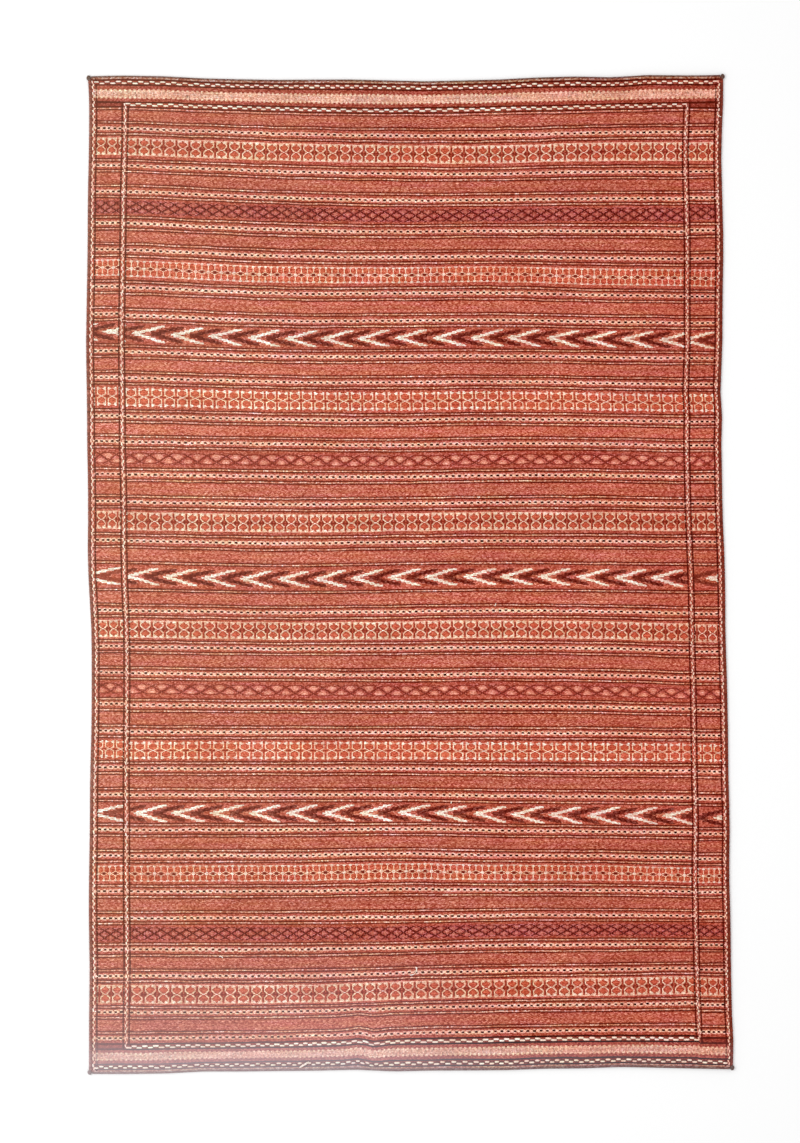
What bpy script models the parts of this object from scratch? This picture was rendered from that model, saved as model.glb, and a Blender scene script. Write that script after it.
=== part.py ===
"""Flat-woven kilim rug, laid flat with its face up.

One woven sheet with two frames of raised twined cords and a turned hem at each end,
an overcast cord along each side, and a knot where each of those cords is tied off.
Metres, +Z up: X runs across the rug, Y along it, and the underside lies on Z = 0.
"""
import math
from collections import namedtuple

import bmesh
import bpy

MM = 0.001
PIECE_GAP = 0.3 * MM

# Sheet
HALF_WIDTH = 625.0 * MM
THICKNESS = 3.0 * MM
CORD_RISE = 0.9 * MM
CORD_FOOT = 8.0 * MM
CORD_CREST = 3.4 * MM
HEM_RISE = 1.0 * MM
HEM_EDGE_RISE = 0.4 * MM
HEM_WIDTH = 6.5 * MM
HEM_ROUND = 1.3 * MM
PANEL_MIDDLE = 40.0 * MM

# Low swells where the sheet lies a little loose, highest along the sides
SWELL = 1.0 * MM
SWELL_LENGTH = 265.0 * MM
SWELL_SLANT = 0.32
SWELL_SHARE_MIDDLE = 0.35

# Side cords, measured inwards from the outer side of the selvedge
OUTER_SIDE_CORD = 9.4 * MM
# End cords, measured inwards from the end of the sheet
OUTER_TOP_CORD = 15.4 * MM
INNER_TOP_CORD = 57.4 * MM
OUTER_BOTTOM_CORD = 13.2 * MM
INNER_BOTTOM_CORD = 54.2 * MM

# Overcast selvedges
SELVEDGE_WIDTH = 6.0 * MM
SELVEDGE_HEIGHT = 4.6 * MM
SELVEDGE_SIDES = 10
SELVEDGE_SQUARENESS = 0.75

# Corner knots
KNOT_WIDTH = 9.0 * MM
KNOT_LENGTH = 11.0 * MM
KNOT_HEIGHT = 7.0 * MM
KNOT_MIDDLE_HEIGHT = 3.1 * MM
KNOT_OUTWARD = 3.0 * MM
KNOT_ENDWARD = 2.6 * MM
KNOT_RINGS = 9
KNOT_SIDES = 14
KNOT_GROOVE = 0.13
KNOT_TURNS = 3

# Steps of the sheet between the inner cords
STEPS_ACROSS = 15
STEPS_ALONG = 36

CLOTH_COLOUR = (0.53, 0.125, 0.08, 1.0)
SELVEDGE_COLOUR = (0.09, 0.03, 0.028, 1.0)
KNOT_COLOUR = (0.075, 0.05, 0.045, 1.0)
WOOL_ROUGHNESS = 0.95

# Sides in millimetres. Left and right are the outer sides of the selvedges, and a panel
# is the width from there to the middle of the inner side cord.
Side = namedtuple("Side", "y left right left_panel right_panel")
SIDES = (
    Side(986, -632.5, 612.5, 71, 71),
    Side(925, -629.5, 612.5, 71, 71),
    Side(830, -630.0, 609.0, 70, 69.5),
    Side(735, -632.0, 611.0, 70, 71),
    Side(640, -632.5, 613.0, 69, 71),
    Side(545, -634.0, 611.5, 68.5, 69.5),
    Side(450, -635.5, 611.0, 69.5, 69),
    Side(355, -634.0, 607.5, 70, 68.5),
    Side(310, -633.5, 610.5, 70, 70),
    Side(262, -633.5, 609.0, 69, 68.5),
    Side(190, -632.0, 610.5, 69, 68),
    Side(120, -631.5, 611.5, 69.5, 67.5),
    Side(27, -632.0, 615.5, 71, 67.5),
    Side(-65, -627.5, 617.0, 69.5, 67.5),
    Side(-115, -625.0, 617.0, 69, 66),
    Side(-208, -624.5, 620.0, 67.5, 66.5),
    Side(-302, -625.0, 622.0, 69, 67),
    Side(-396, -627.5, 623.0, 72, 66.5),
    Side(-490, -628.0, 625.5, 72, 67.5),
    Side(-584, -629.5, 624.5, 73.5, 67.5),
    Side(-678, -630.0, 627.0, 74.5, 68.5),
    Side(-772, -628.5, 628.0, 73, 66),
    Side(-866, -629.5, 630.0, 73, 66),
    Side(-915, -629.5, 632.5, 72.5, 67.5),
    Side(-986, -630.0, 631.0, 72, 68),
)

# Ends in millimetres: where the sheet ends at its top and bottom, at each x across it.
End = namedtuple("End", "x top bottom")
ENDS = (
    End(-640, 975.0, -977.5),
    End(-575, 976.5, -978.0),
    End(-500, 976.0, -977.5),
    End(-420, 971.5, -974.5),
    End(-380, 971.5, -970.5),
    End(-340, 969.5, -973.0),
    End(-225, 968.0, -971.5),
    End(-145, 970.0, -971.0),
    End(-105, 968.5, -969.5),
    End(-30, 967.0, -973.0),
    End(12, 965.5, -971.5),
    End(90, 967.0, -971.0),
    End(170, 969.0, -971.0),
    End(247, 973.0, -968.0),
    End(325, 975.0, -967.5),
    End(405, 973.5, -964.5),
    End(445, 977.5, -965.0),
    End(560, 977.0, -967.5),
    End(640, 979.0, -969.0),
)

# A line of points that runs along or across the sheet: where it starts from, how far
# inwards it lies, how far it is raised, and whether it belongs to the inner frame.
Line = namedtuple("Line", "anchor inwards rise inner")


def smooth_at(table, column, at):
    """Read a column of a table in millimetres at a place given in metres, smoothly."""
    places = [row[0] * MM for row in table]
    values = [getattr(row, column) * MM for row in table]
    if places[0] > places[-1]:
        places.reverse()
        values.reverse()
    last = len(places) - 1
    at = min(max(at, places[0]), places[last])
    step = max(i for i in range(last) if places[i] <= at)

    def slope(i):
        before, after = max(i - 1, 0), min(i + 1, last)
        return (values[after] - values[before]) / (places[after] - places[before])

    span = places[step + 1] - places[step]
    t = (at - places[step]) / span
    start = (1 + 2 * t) * (1 - t) ** 2 * values[step] + t * (1 - t) ** 2 * span * slope(step)
    end = t * t * (3 - 2 * t) * values[step + 1] - t * t * (1 - t) * span * slope(step + 1)
    return start + end


def side_x(side, y):
    """Outer side of the left or right selvedge."""
    return smooth_at(SIDES, side, y)


def inner_cord_x(side, y):
    """Middle of the inner side cord."""
    inwards = smooth_at(SIDES, side + "_panel", y)
    return side_x(side, y) + (inwards if side == "left" else -inwards)


def cord_profile(anchor, middle, inner):
    """Foot, crest, crest and foot of a raised cord across its middle."""
    half_foot, half_crest = CORD_FOOT / 2, CORD_CREST / 2
    return [
        Line(anchor, middle - half_foot, 0.0, inner),
        Line(anchor, middle - half_crest, CORD_RISE, inner),
        Line(anchor, middle + half_crest, CORD_RISE, inner),
        Line(anchor, middle + half_foot, 0.0, inner),
    ]


def hem_profile(anchor):
    """Turned hem from the end of the sheet inwards."""
    return [
        Line(anchor, 0.0, HEM_EDGE_RISE, False),
        Line(anchor, HEM_ROUND, HEM_RISE, False),
        Line(anchor, HEM_WIDTH - HEM_ROUND, HEM_RISE, False),
        Line(anchor, HEM_WIDTH, 0.0, False),
    ]


def side_columns(side):
    """Columns from one edge of the sheet to the inner side of its inner cord."""
    edge = SELVEDGE_WIDTH + PIECE_GAP
    outer = cord_profile(side, OUTER_SIDE_CORD, False)
    outer[0] = Line(side, edge, 0.0, False)
    middle = [Line(side, PANEL_MIDDLE, 0.0, False)]
    return outer + middle + cord_profile(side + "_cord", 0.0, True)


def end_rows(end, outer_cord, inner_cord):
    """Rows from one end of the sheet to the inner side of its inner cord."""
    band_middle = [Line(end, (outer_cord + inner_cord) / 2, 0.0, False)]
    outer = cord_profile(end, outer_cord, False)
    return hem_profile(end) + outer + band_middle + cord_profile(end, inner_cord, True)


def between(steps):
    """Plain lines of the ground, as fractions of the way between the inner cords."""
    return [Line("between", i / steps, 0.0, False) for i in range(1, steps)]


def sheet_rows():
    """All rows of the sheet, from its top end down."""
    top = end_rows("top", OUTER_TOP_CORD, INNER_TOP_CORD)
    bottom = end_rows("bottom", OUTER_BOTTOM_CORD, INNER_BOTTOM_CORD)
    return top + between(STEPS_ALONG) + bottom[::-1]


def column_x(line, y):
    """Where a column stands at a height y of the sheet."""
    if line.anchor == "left":
        return side_x("left", y) + line.inwards
    if line.anchor == "right":
        return side_x("right", y) - line.inwards
    left, right = inner_cord_x("left", y), inner_cord_x("right", y)
    if line.anchor == "left_cord":
        return left + line.inwards
    if line.anchor == "right_cord":
        return right - line.inwards
    first, last = left + CORD_FOOT / 2, right - CORD_FOOT / 2
    return first + (last - first) * line.inwards


def row_y(line, x):
    """Where a row lies at a place x across the sheet."""
    top, bottom = smooth_at(ENDS, "top", x), smooth_at(ENDS, "bottom", x)
    if line.anchor == "top":
        return top - line.inwards
    if line.anchor == "bottom":
        return bottom + line.inwards
    first = top - INNER_TOP_CORD - CORD_FOOT / 2
    last = bottom + INNER_BOTTOM_CORD + CORD_FOOT / 2
    return first + (last - first) * line.inwards


def crossing(column, row):
    """Where a column and a row of the uneven sheet cross."""
    y = row_y(row, 0.0)
    for _ in range(3):
        x = column_x(column, y)
        y = row_y(row, x)
    return x, y


def rise_at(column, row, columns, rows):
    """Height of the relief where a column and a row cross."""
    inner_columns = [i for i, line in enumerate(columns) if line.inner and line.rise]
    inner_rows = [i for i, line in enumerate(rows) if line.inner and line.rise]
    in_columns = inner_columns[0] <= columns.index(column) <= inner_columns[-1]
    in_rows = inner_rows[0] <= rows.index(row) <= inner_rows[-1]
    from_column = column.rise if not column.inner or in_rows else 0.0
    from_row = row.rise if not row.inner or in_columns else 0.0
    return max(from_column, from_row)


def swell_at(x, y):
    """Rise of the loose-lying ground, from nothing up to SWELL."""
    out = min(abs(x) / HALF_WIDTH, 1.0)
    wave = 0.5 + 0.5 * math.sin(2 * math.pi * (y + SWELL_SLANT * x) / SWELL_LENGTH)
    share = SWELL_SHARE_MIDDLE + (1 - SWELL_SHARE_MIDDLE) * out * out
    return SWELL * wave * share


def material(name, colour):
    """Matt wool of one colour."""
    made = bpy.data.materials.new(name)
    made.use_nodes = True
    made.diffuse_color = colour
    shader = made.node_tree.nodes["Principled BSDF"]
    shader.inputs["Base Color"].default_value = colour
    shader.inputs["Roughness"].default_value = WOOL_ROUGHNESS
    shader.inputs["Metallic"].default_value = 0.0
    return made


def add_object(name, bm, finish, smooth, place=(0.0, 0.0, 0.0)):
    """Turn a bmesh into a named object with its faces out."""
    bmesh.ops.recalc_face_normals(bm, faces=bm.faces)
    mesh = bpy.data.meshes.new(name)
    bm.to_mesh(mesh)
    bm.free()
    mesh.materials.append(finish)
    if smooth:
        mesh.shade_smooth()
        mesh.set_sharp_from_angle(angle=math.radians(50))
    made = bpy.data.objects.new(name, mesh)
    made.location = place
    bpy.context.scene.collection.objects.link(made)


def build_cloth():
    """The woven sheet: flat below, with its cords and hems raised in its upper face."""
    columns = side_columns("left") + between(STEPS_ACROSS) + side_columns("right")[::-1]
    rows = sheet_rows()
    bm = bmesh.new()
    upper = []
    for row in rows:
        line = []
        for column in columns:
            x, y = crossing(column, row)
            z = THICKNESS + swell_at(x, y) + rise_at(column, row, columns, rows)
            line.append(bm.verts.new((x, y, z)))
        upper.append(line)
    for above, below in zip(upper, upper[1:]):
        for i in range(len(columns) - 1):
            bm.faces.new((above[i], below[i], below[i + 1], above[i + 1]))
    left = [line[0] for line in upper]
    right = [line[-1] for line in upper]
    rim = left[:-1] + upper[-1][:-1] + right[:0:-1] + upper[0][:0:-1]
    lower = [bm.verts.new((v.co.x, v.co.y, 0.0)) for v in rim]
    for i in range(len(rim)):
        following = (i + 1) % len(rim)
        bm.faces.new((rim[i], lower[i], lower[following], rim[following]))
    bm.faces.new(lower)
    add_object("kilim_cloth", bm, material("woven_wool", CLOTH_COLOUR), False)


def selvedge_section():
    """Half-flat oval of the overcast cord, as (across, up) with its foot on zero."""
    section = []
    for i in range(SELVEDGE_SIDES):
        angle = 2 * math.pi * (i + 0.5) / SELVEDGE_SIDES
        c, s = math.cos(angle), math.sin(angle)
        across = math.copysign(abs(c) ** SELVEDGE_SQUARENESS, c)
        up = math.copysign(abs(s) ** SELVEDGE_SQUARENESS, s)
        section.append([across, up])
    widest = max(across for across, _ in section)
    highest = max(up for _, up in section)
    half_width, half_height = SELVEDGE_WIDTH / 2, SELVEDGE_HEIGHT / 2
    return [(a / widest * half_width, (u / highest + 1) * half_height) for a, u in section]


def knot_middle(side, end):
    """Middle of a corner knot, from the corner of the sheet that it sits on."""
    end_sign = 1 if end == "top" else -1
    side_sign = -1 if side == "left" else 1
    y = smooth_at(ENDS, end, side_x(side, end_sign * 0.98))
    x = side_x(side, y)
    return (
        x + side_sign * (KNOT_OUTWARD - KNOT_WIDTH / 2),
        y + end_sign * (KNOT_ENDWARD - KNOT_LENGTH / 2),
    )


def selvedge_path(side):
    """Middle line of a selvedge: the sheet's own edge points, cut off at the knots."""
    column = side_columns(side)[0]
    side_sign = -1 if side == "left" else 1
    outwards = side_sign * (PIECE_GAP + SELVEDGE_WIDTH / 2)
    edge = [crossing(column, row) for row in sheet_rows()]
    reach = KNOT_LENGTH / 2 + PIECE_GAP
    top = knot_middle(side, "top")[1] - reach
    bottom = knot_middle(side, "bottom")[1] + reach
    path = []
    for (x0, y0), (x1, y1) in zip(edge, edge[1:]):
        for cut in (top, bottom):
            if y0 > cut > y1:
                path.append((x0 + (x1 - x0) * (y0 - cut) / (y0 - y1) + outwards, cut))
        if top - PIECE_GAP > y1 > bottom + PIECE_GAP:
            path.append((x1 + outwards, y1))
    return sorted(path, key=lambda point: -point[1])


def build_selvedge(side):
    """Overcast cord along one side, from one corner knot to the other."""
    section = selvedge_section()
    bm = bmesh.new()
    rings = []
    for x, y in selvedge_path(side):
        rings.append([bm.verts.new((x + across, y, up)) for across, up in section])
    for ring, following in zip(rings, rings[1:]):
        for j in range(SELVEDGE_SIDES):
            k = (j + 1) % SELVEDGE_SIDES
            bm.faces.new((ring[j], ring[k], following[k], following[j]))
    bm.faces.new(rings[0])
    bm.faces.new(rings[-1][::-1])
    finish = material("overcast_wool_" + side, SELVEDGE_COLOUR)
    add_object("selvedge_" + side, bm, finish, True)


def knot_point(polar, around):
    """Point of a knot about its middle; the turns of its yarn are shallow grooves."""
    turn = math.cos(2 * KNOT_TURNS * polar + around)
    size = (1 - KNOT_GROOVE * (0.5 + 0.5 * turn)) * math.sin(polar)
    across = size * math.cos(around) * KNOT_WIDTH / 2
    along = math.cos(polar) * KNOT_LENGTH / 2
    up = size * math.sin(around) * KNOT_HEIGHT / 2
    return across, along, max(up, -KNOT_MIDDLE_HEIGHT)


def build_knot(side, end):
    """Rounded knot, flat where it rests, with its origin at its middle."""
    x, y = knot_middle(side, end)
    bm = bmesh.new()
    rings = []
    for i in range(1, KNOT_RINGS):
        polar = math.pi * i / KNOT_RINGS
        turns = [2 * math.pi * j / KNOT_SIDES for j in range(KNOT_SIDES)]
        rings.append([bm.verts.new(knot_point(polar, around)) for around in turns])
    for ring, following in zip(rings, rings[1:]):
        for j in range(KNOT_SIDES):
            k = (j + 1) % KNOT_SIDES
            bm.faces.new((ring[j], ring[k], following[k], following[j]))
    for ring, along in ((rings[0], KNOT_LENGTH / 2), (rings[-1], -KNOT_LENGTH / 2)):
        tip = bm.verts.new((0.0, along, 0.0))
        for j in range(KNOT_SIDES):
            bm.faces.new((tip, ring[j], ring[(j + 1) % KNOT_SIDES]))
    finish = material("knotted_wool_" + end + "_" + side, KNOT_COLOUR)
    place = (x, y, KNOT_MIDDLE_HEIGHT)
    add_object("knot_" + end + "_" + side, bm, finish, True, place)


def set_on_origin():
    """Move every piece so that the middle of the rug's box is over the origin."""
    pieces = list(bpy.data.objects)
    for axis in (0, 1):
        places = [o.location[axis] + v.co[axis] for o in pieces for v in o.data.vertices]
        middle = (min(places) + max(places)) / 2
        for piece in pieces:
            piece.location[axis] -= middle


def main():
    for old in list(bpy.data.objects):
        bpy.data.objects.remove(old, do_unlink=True)
    build_cloth()
    for side in ("left", "right"):
        build_selvedge(side)
        for end in ("top", "bottom"):
            build_knot(side, end)
    set_on_origin()


main()
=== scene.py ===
"""Looks of a flat-woven kilim rug, laid flat with its face up.

A woven sheet carries bands of figures in wrapped stitches, two frames of twined cord,
overcast sides and a knot at each corner. Every stitch is placed in weave coordinates,
where u runs across the rug from its middle and v runs down it from its top end, and is
then carried onto the rug's own uneven outline.
"""

import math
from collections import namedtuple

import bmesh
import bpy
import numpy as np
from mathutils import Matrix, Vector


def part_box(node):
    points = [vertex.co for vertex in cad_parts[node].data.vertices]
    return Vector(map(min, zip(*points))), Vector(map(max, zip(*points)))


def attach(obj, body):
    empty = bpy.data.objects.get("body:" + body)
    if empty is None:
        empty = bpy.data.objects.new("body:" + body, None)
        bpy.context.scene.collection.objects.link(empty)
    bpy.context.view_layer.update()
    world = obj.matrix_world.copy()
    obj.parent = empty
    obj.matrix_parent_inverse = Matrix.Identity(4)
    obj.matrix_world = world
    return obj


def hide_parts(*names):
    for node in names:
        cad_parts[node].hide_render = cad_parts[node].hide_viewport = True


bl_info = {
    "name": "Kilim Rug",
    "version": (1, 0, 0),
    "blender": (4, 5, 0),
    "location": "View3D > Sidebar > Kilim Rug",
    "description": "Weaves a kilim rug stitch by stitch over its solid sheet",
    "category": "Add Mesh",
}

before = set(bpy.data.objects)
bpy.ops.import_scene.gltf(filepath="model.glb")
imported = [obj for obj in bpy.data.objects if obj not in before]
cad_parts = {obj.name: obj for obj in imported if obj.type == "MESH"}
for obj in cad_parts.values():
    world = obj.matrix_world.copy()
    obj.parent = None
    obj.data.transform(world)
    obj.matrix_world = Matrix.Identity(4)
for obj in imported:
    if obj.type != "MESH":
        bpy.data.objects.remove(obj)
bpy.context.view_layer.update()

MM = 0.001
BODY = "root"

# Weave coordinates
HALF_WIDTH = 622.0 * MM
INNER_SIDE_CORD = 552.5 * MM
SELVEDGE_WIDTH = 6.3 * MM
SHEET_EDGE = HALF_WIDTH - SELVEDGE_WIDTH
OUTER_SIDE_CORD = HALF_WIDTH - 9.0 * MM
CORD_HALF_WIDTH = 4.6 * MM

# Surface of the sheet
THICKNESS = 3.0 * MM
CORD_RISE = 0.9 * MM
CORD_FOOT = 4.0 * MM
CORD_CREST = 1.7 * MM
HEM_RISE = 1.0 * MM
HEM_WIDTH = 6.5 * MM
HEM_SLOPE = 1.5 * MM
SWELL = 1.0 * MM
SWELL_LENGTH = 265.0 * MM
SWELL_SLANT = 0.32
SWELL_SHARE_MIDDLE = 0.35
SWELL_HALF_WIDTH = 625.0 * MM

# Width from the outer side to the middle of the inner side cord, in millimetres.
Panel = namedtuple("Panel", "y left right")
PANELS = (
    Panel(-986, 72.0, 68.0),
    Panel(-866, 73.0, 66.0),
    Panel(-678, 74.5, 68.5),
    Panel(-490, 72.0, 67.0),
    Panel(-302, 69.0, 67.0),
    Panel(-115, 69.0, 66.0),
    Panel(27, 71.0, 67.5),
    Panel(262, 69.0, 68.5),
    Panel(450, 69.5, 69.0),
    Panel(640, 69.0, 71.0),
    Panel(986, 71.0, 71.0),
)

# How far the weave has crept to the right of its place, in millimetres.
Drift = namedtuple("Drift", "u shift")
DRIFTS = (
    Drift(-552.0, 0.0),
    Drift(-310.0, 7.0),
    Drift(-195.0, 3.0),
    Drift(0.0, -0.5),
    Drift(390.0, 2.0),
    Drift(552.0, 0.0),
)

# How far the weft of each band lies below its place at the middle, in millimetres: in the
# side panels, beside the inner cords, and at places between the middle and them.
Bow = namedtuple("Bow", "v left_panel left part_left near_right part_right right right_panel")
BOW_PLACES = (-530.0, -228.0, 0.0, 143.0, 378.0, 528.0)
BOWS = (
    Bow(56, -12.5, -12.0, -2.5, -2.0, -7.5, -10.5, -11.0),
    Bow(143, -16.0, -14.5, -3.5, 1.5, -4.0, -4.5, -4.5),
    Bow(263, -17.5, -17.0, -4.5, -1.0, -3.0, -2.5, -5.5),
    Bow(380, -15.0, -13.0, -0.5, -2.0, 3.5, 5.5, 6.5),
    Bow(503, -12.0, -8.5, 1.5, -0.5, 2.0, 4.0, 4.0),
    Bow(626, -10.0, -8.5, -1.0, -1.5, 1.0, 4.0, 4.0),
    Bow(744, -7.0, -5.5, -2.0, -3.0, -3.5, 0.0, -0.5),
    Bow(864, -5.0, -2.0, 2.5, -2.0, -2.0, -0.5, -1.0),
    Bow(972, -2.5, -2.0, 4.0, -1.5, 0.0, 1.5, 2.0),
    Bow(1076, -3.5, -2.0, 1.5, -2.0, 0.0, 4.0, 6.0),
    Bow(1195, -5.5, -4.0, -0.5, -1.0, 1.0, 6.0, 7.5),
    Bow(1313, -3.5, -0.5, -0.5, 1.0, 2.0, 2.5, 4.0),
    Bow(1433, 0.5, 1.0, 1.0, 2.5, 5.5, 7.0, 10.0),
    Bow(1548, 4.5, 5.0, 4.0, 2.5, 4.0, 8.0, 9.5),
    Bow(1669, 3.0, 2.0, 1.5, -4.0, -5.5, -5.5, -3.5),
    Bow(1782, 7.5, 8.0, 8.0, -3.5, -7.0, -10.5, -8.0),
    Bow(1883, 10.0, 10.5, 5.5, -2.5, -6.0, -5.5, -2.0),
)
PANEL_JOG = 3.5 * MM

# How far the hand sets stitches from their place: rows of figures, dots across and down,
# flecks across and down, twined dashes, and turns of the overcasting
ROW_SHAKE = 0.12 * MM
DOT_SHAKE, DOT_SHAKE_DOWN = 0.35 * MM, 0.3 * MM
FLECK_SHAKE, FLECK_SHAKE_DOWN = 0.9 * MM, 0.3 * MM
DASH_SHAKE = 0.35 * MM
WRAP_SHAKE = 0.2 * MM

# How far the hand lets the weft wander up and down, along a row and from row to row
WANDER = 0.75 * MM
WANDER_ALONG = 33.0 * MM
WANDER_ROWS = 24.0 * MM
WANDER_FADE = 12.0 * MM
WAVE_KNOTS = 256

# A pucker of the weft near the foot: how far it goes up and then down, its place and half
# width across, and from where to where it grows along
PUCKER = 3.2 * MM
PUCKER_MIDDLE = -89.0 * MM
PUCKER_HALF = 16.0 * MM
PUCKER_ALONG = (1790.0 * MM, 1850.0 * MM)

# Bands of figures in millimetres: the middle of each, half its height, and how far above
# and below its middle the far line, the row of dots and the near line lie. Pitch is from
# one figure to the next and first the place of one of them; shade is how light the plain
# ground above it is.
Band = namedtuple(
    "Band",
    "figure middle half far_above dots_above near_above near_below dots_below far_below pitch first shade",
)
BANDS = (
    Band("hexagon", 143.0, 17.6, 48.5, 36.0, 25.0, 27.5, 38.5, 50.0, 24.75, 4.5, 0.93),
    Band("lattice", 263.5, 12.2, 42.0, 30.0, 20.0, 20.0, 31.5, 42.5, 24.4, -4.2, 0.94),
    Band("star", 380.0, 15.7, 46.0, 35.0, 23.5, 25.5, 36.0, 47.5, 24.45, 13.3, 0.97),
    Band("arrow", 503.0, 15.7, 46.0, 34.0, 23.5, 24.5, 36.0, 47.0, 73.5, -532.9, 1.04),
    Band("ring", 627.0, 18.1, 48.0, 37.0, 26.0, 26.5, 37.0, 47.5, 24.45, 2.4, 1.03),
    Band("diamond", 744.5, 12.8, 42.5, 31.5, 20.5, 20.5, 31.0, 42.0, 36.45, -10.6, 1.1),
    Band("hexagon", 864.0, 17.6, 47.0, 36.0, 25.0, 27.0, 38.5, 51.0, 24.1, 11.9, 0.98),
    Band("arrow", 972.0, 17.6, 27.0, None, None, None, None, 26.5, 73.3, -552.5, 0.98),
    Band("hexagon", 1075.5, 17.6, 47.5, 36.5, 25.0, 25.0, 35.5, 46.5, 24.5, -2.0, 0.99),
    Band("diamond", 1194.0, 12.4, 41.5, 31.0, 20.0, 21.0, 31.0, 42.0, 36.9, -7.8, 0.95),
    Band("ring", 1311.5, 17.1, 45.5, 35.5, 24.5, 24.5, 35.0, 46.0, 24.8, 18.8, 0.96),
    Band("arrow", 1433.0, 14.7, 46.5, 35.5, 24.0, 21.5, 31.5, 42.5, 73.5, -541.0, 0.94),
    Band("star", 1547.5, 15.7, 43.5, 34.0, 23.0, 24.5, 35.5, 46.5, 24.55, 2.8, 0.92),
    Band("lattice", 1667.5, 12.0, 43.0, 31.0, 21.0, 19.5, 29.5, 41.0, 24.3, 8.3, 0.9),
    Band("hexagon", 1780.5, 17.6, 44.5, 34.0, 24.0, 24.5, 34.5, 45.5, 25.05, 17.8, 0.94),
)

# Rows of the frame at the two ends, in millimetres from that end of the sheet.
EndFrame = namedtuple(
    "EndFrame",
    "hem_light outer_rows outer_dark zigzag band_dark inner_rows inner_dark light_line last_dark",
)
TOP_FRAME = EndFrame(4.5, (11.6, 14.8), (8.2, 18.2), (26.3, 45.4), 52.8, (55.9, 59.1), 63.8, 66.5, 69.0)
BOTTOM_FRAME = EndFrame(6.2, (12.6, 15.8), (9.3, 20.4), (27.9, 45.1), 52.0, (55.8, 58.9), 63.3, None, None)

# Above the foot's frame, in millimetres from the foot: the last line and the last row of dots,
# and how light the plain ground above them is
LAST_LINE = 84.0
LAST_DOTS = 73.8
LAST_SHADE = 0.98

# Charts of one figure of each kind, a letter for each cell: c cream, w white, p pink,
# b blush, o and r the light and dark of an inside, g the gap between two figures, m maroon,
# d a redder maroon, n a faint one, f a fleck, and a dot the ground. A half chart is mirrored.
# Narrow is how much the light strokes draw in to the figure's middle, and spread how many
# cells they are wider than one.
Chart = namedtuple("Chart", "mirrored narrow spread rows")
CHARTS = {
    "hexagon": Chart(True, 0.97, 0.35, (
        "pccccpppccccp",
        "gcwwwcncwwwcg",
        "nccwcrorcwccg",
        "nccrooooorccg",
        "ncrooooooorcg",
        "ncrooooooorcg",
        "nccrooooorccg",
        "gnccrrorrccng",
        "gnnccrrrccnng",
        "nnnggwwwggnnn",
    )),
    "ring": Chart(True, 0.95, 0.65, (
        ".ww.......ww.",
        ".wwwwbbbwwww.",
        ".wwcrooorcww.",
        ".crooooooorc.",
        ".crooooooorc.",
        ".crooooooorc.",
        ".crooooooorc.",
        ".ccrooooorcc.",
        "...ccrrrcc...",
        "nnn..www..nnn",
    )),
    "star": Chart(True, 1.0, 0.22, (
        "wwpppwwwpppw",
        "ww...www...w",
        "c.....c.....",
        "c.....c.....",
        "c.....c.....",
        "c.....c.....",
        "c....ccc....",
        "ww.ccnnncc.w",
        "wwc.nmmmn.cw",
    )),
    "lattice": Chart(False, 1.0, 0.4, (
        "...mm...mm..",
        ".mm.......mm",
        "mm...fff...m",
        ".mm..fff..mm",
        "..mmm...mmm.",
        "f...mm.mm..f",
        "ff...mmm...f",
        "f...mm.mm..f",
        "..mmm...mmm.",
        ".mm..fff..mm",
        "mm...fff...m",
        ".mm.......mm",
        "...mm...mm..",
    )),
    "diamond": Chart(False, 1.0, 0.4, (
        "....................",
        "...dddnnnnnnnnnddd..",
        ".ddd....bbbbb....ddd",
        "dd....bbbbbbbbb....d",
        ".ddd..bbbpppbbb..ddd",
        "...dd..bbbbbbb..dd..",
        "....ddd.bbbbb.ddd...",
        "bbb...dd.....dd...bb",
        "bbbb...ddd.ddd...bbb",
        "ppbbb....ddd....bbbp",
        "bbbb...ddd.ddd...bbb",
        "nnnnnddd.....dddnnnn",
        "....................",
    )),
}

# How much closer figures stand in a side panel, and how many cells wider dark strokes are
PANEL_SHRINK = 0.87
DARK_SPREAD = 0.6

# Steps of an arrow in millimetres: where each starts and ends behind the tip, and how far
# out from the middle its nearer and farther edge lie. Those beside the middle have a twin.
ArrowStep = namedtuple("ArrowStep", "start end near far")
WHITE_ARROW = (
    ArrowStep(0.0, 8.0, -1.6, 1.6),
    ArrowStep(5.0, 19.0, -4.6, 4.6),
    ArrowStep(16.0, 28.0, 1.4, 7.2),
    ArrowStep(25.5, 37.5, 4.2, 9.8),
    ArrowStep(35.0, 47.0, 7.2, 12.8),
    ArrowStep(44.5, 57.5, 10.6, 15.8),
    ArrowStep(55.0, 64.0, 13.0, 16.6),
)
DARK_ARROW = (
    ArrowStep(-1.0, 20.0, -4.6, 4.6),
    ArrowStep(12.0, 28.0, 0.6, 8.6),
    ArrowStep(24.0, 39.0, 3.6, 11.6),
    ArrowStep(35.0, 50.0, 6.4, 14.2),
    ArrowStep(46.0, 61.0, 9.2, 16.0),
)

# Height of an arrow's rows, how far their ends are shaken and slant from row to row, and how
# far a whole arrow strays, in millimetres; how rows overlap, and the shortest stitch
ARROW_ROW = 1.9
ARROW_SHAKE = 1.2
ARROW_SLANT = 1.3
ARROW_STRAY = 1.5
ARROW_OVERLAP = 1.2
ARROW_LEAST = 1.5 * MM

# The arrow of each side panel, by band: where its tip lies, how far it is drawn out, and how
# faint the dark one beside it is.
PanelArrow = namedtuple("PanelArrow", "left left_stretch left_faint right right_stretch right_faint")
PANEL_ARROWS = (
    PanelArrow(-590.0, 1.6, 0.0, 537.0, 1.1, 0.2),
    PanelArrow(-652.0, 1.45, 0.55, 582.0, 1.25, 0.25),
    PanelArrow(-632.0, 1.3, 0.3, 589.0, 1.4, 0.0),
)


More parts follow.
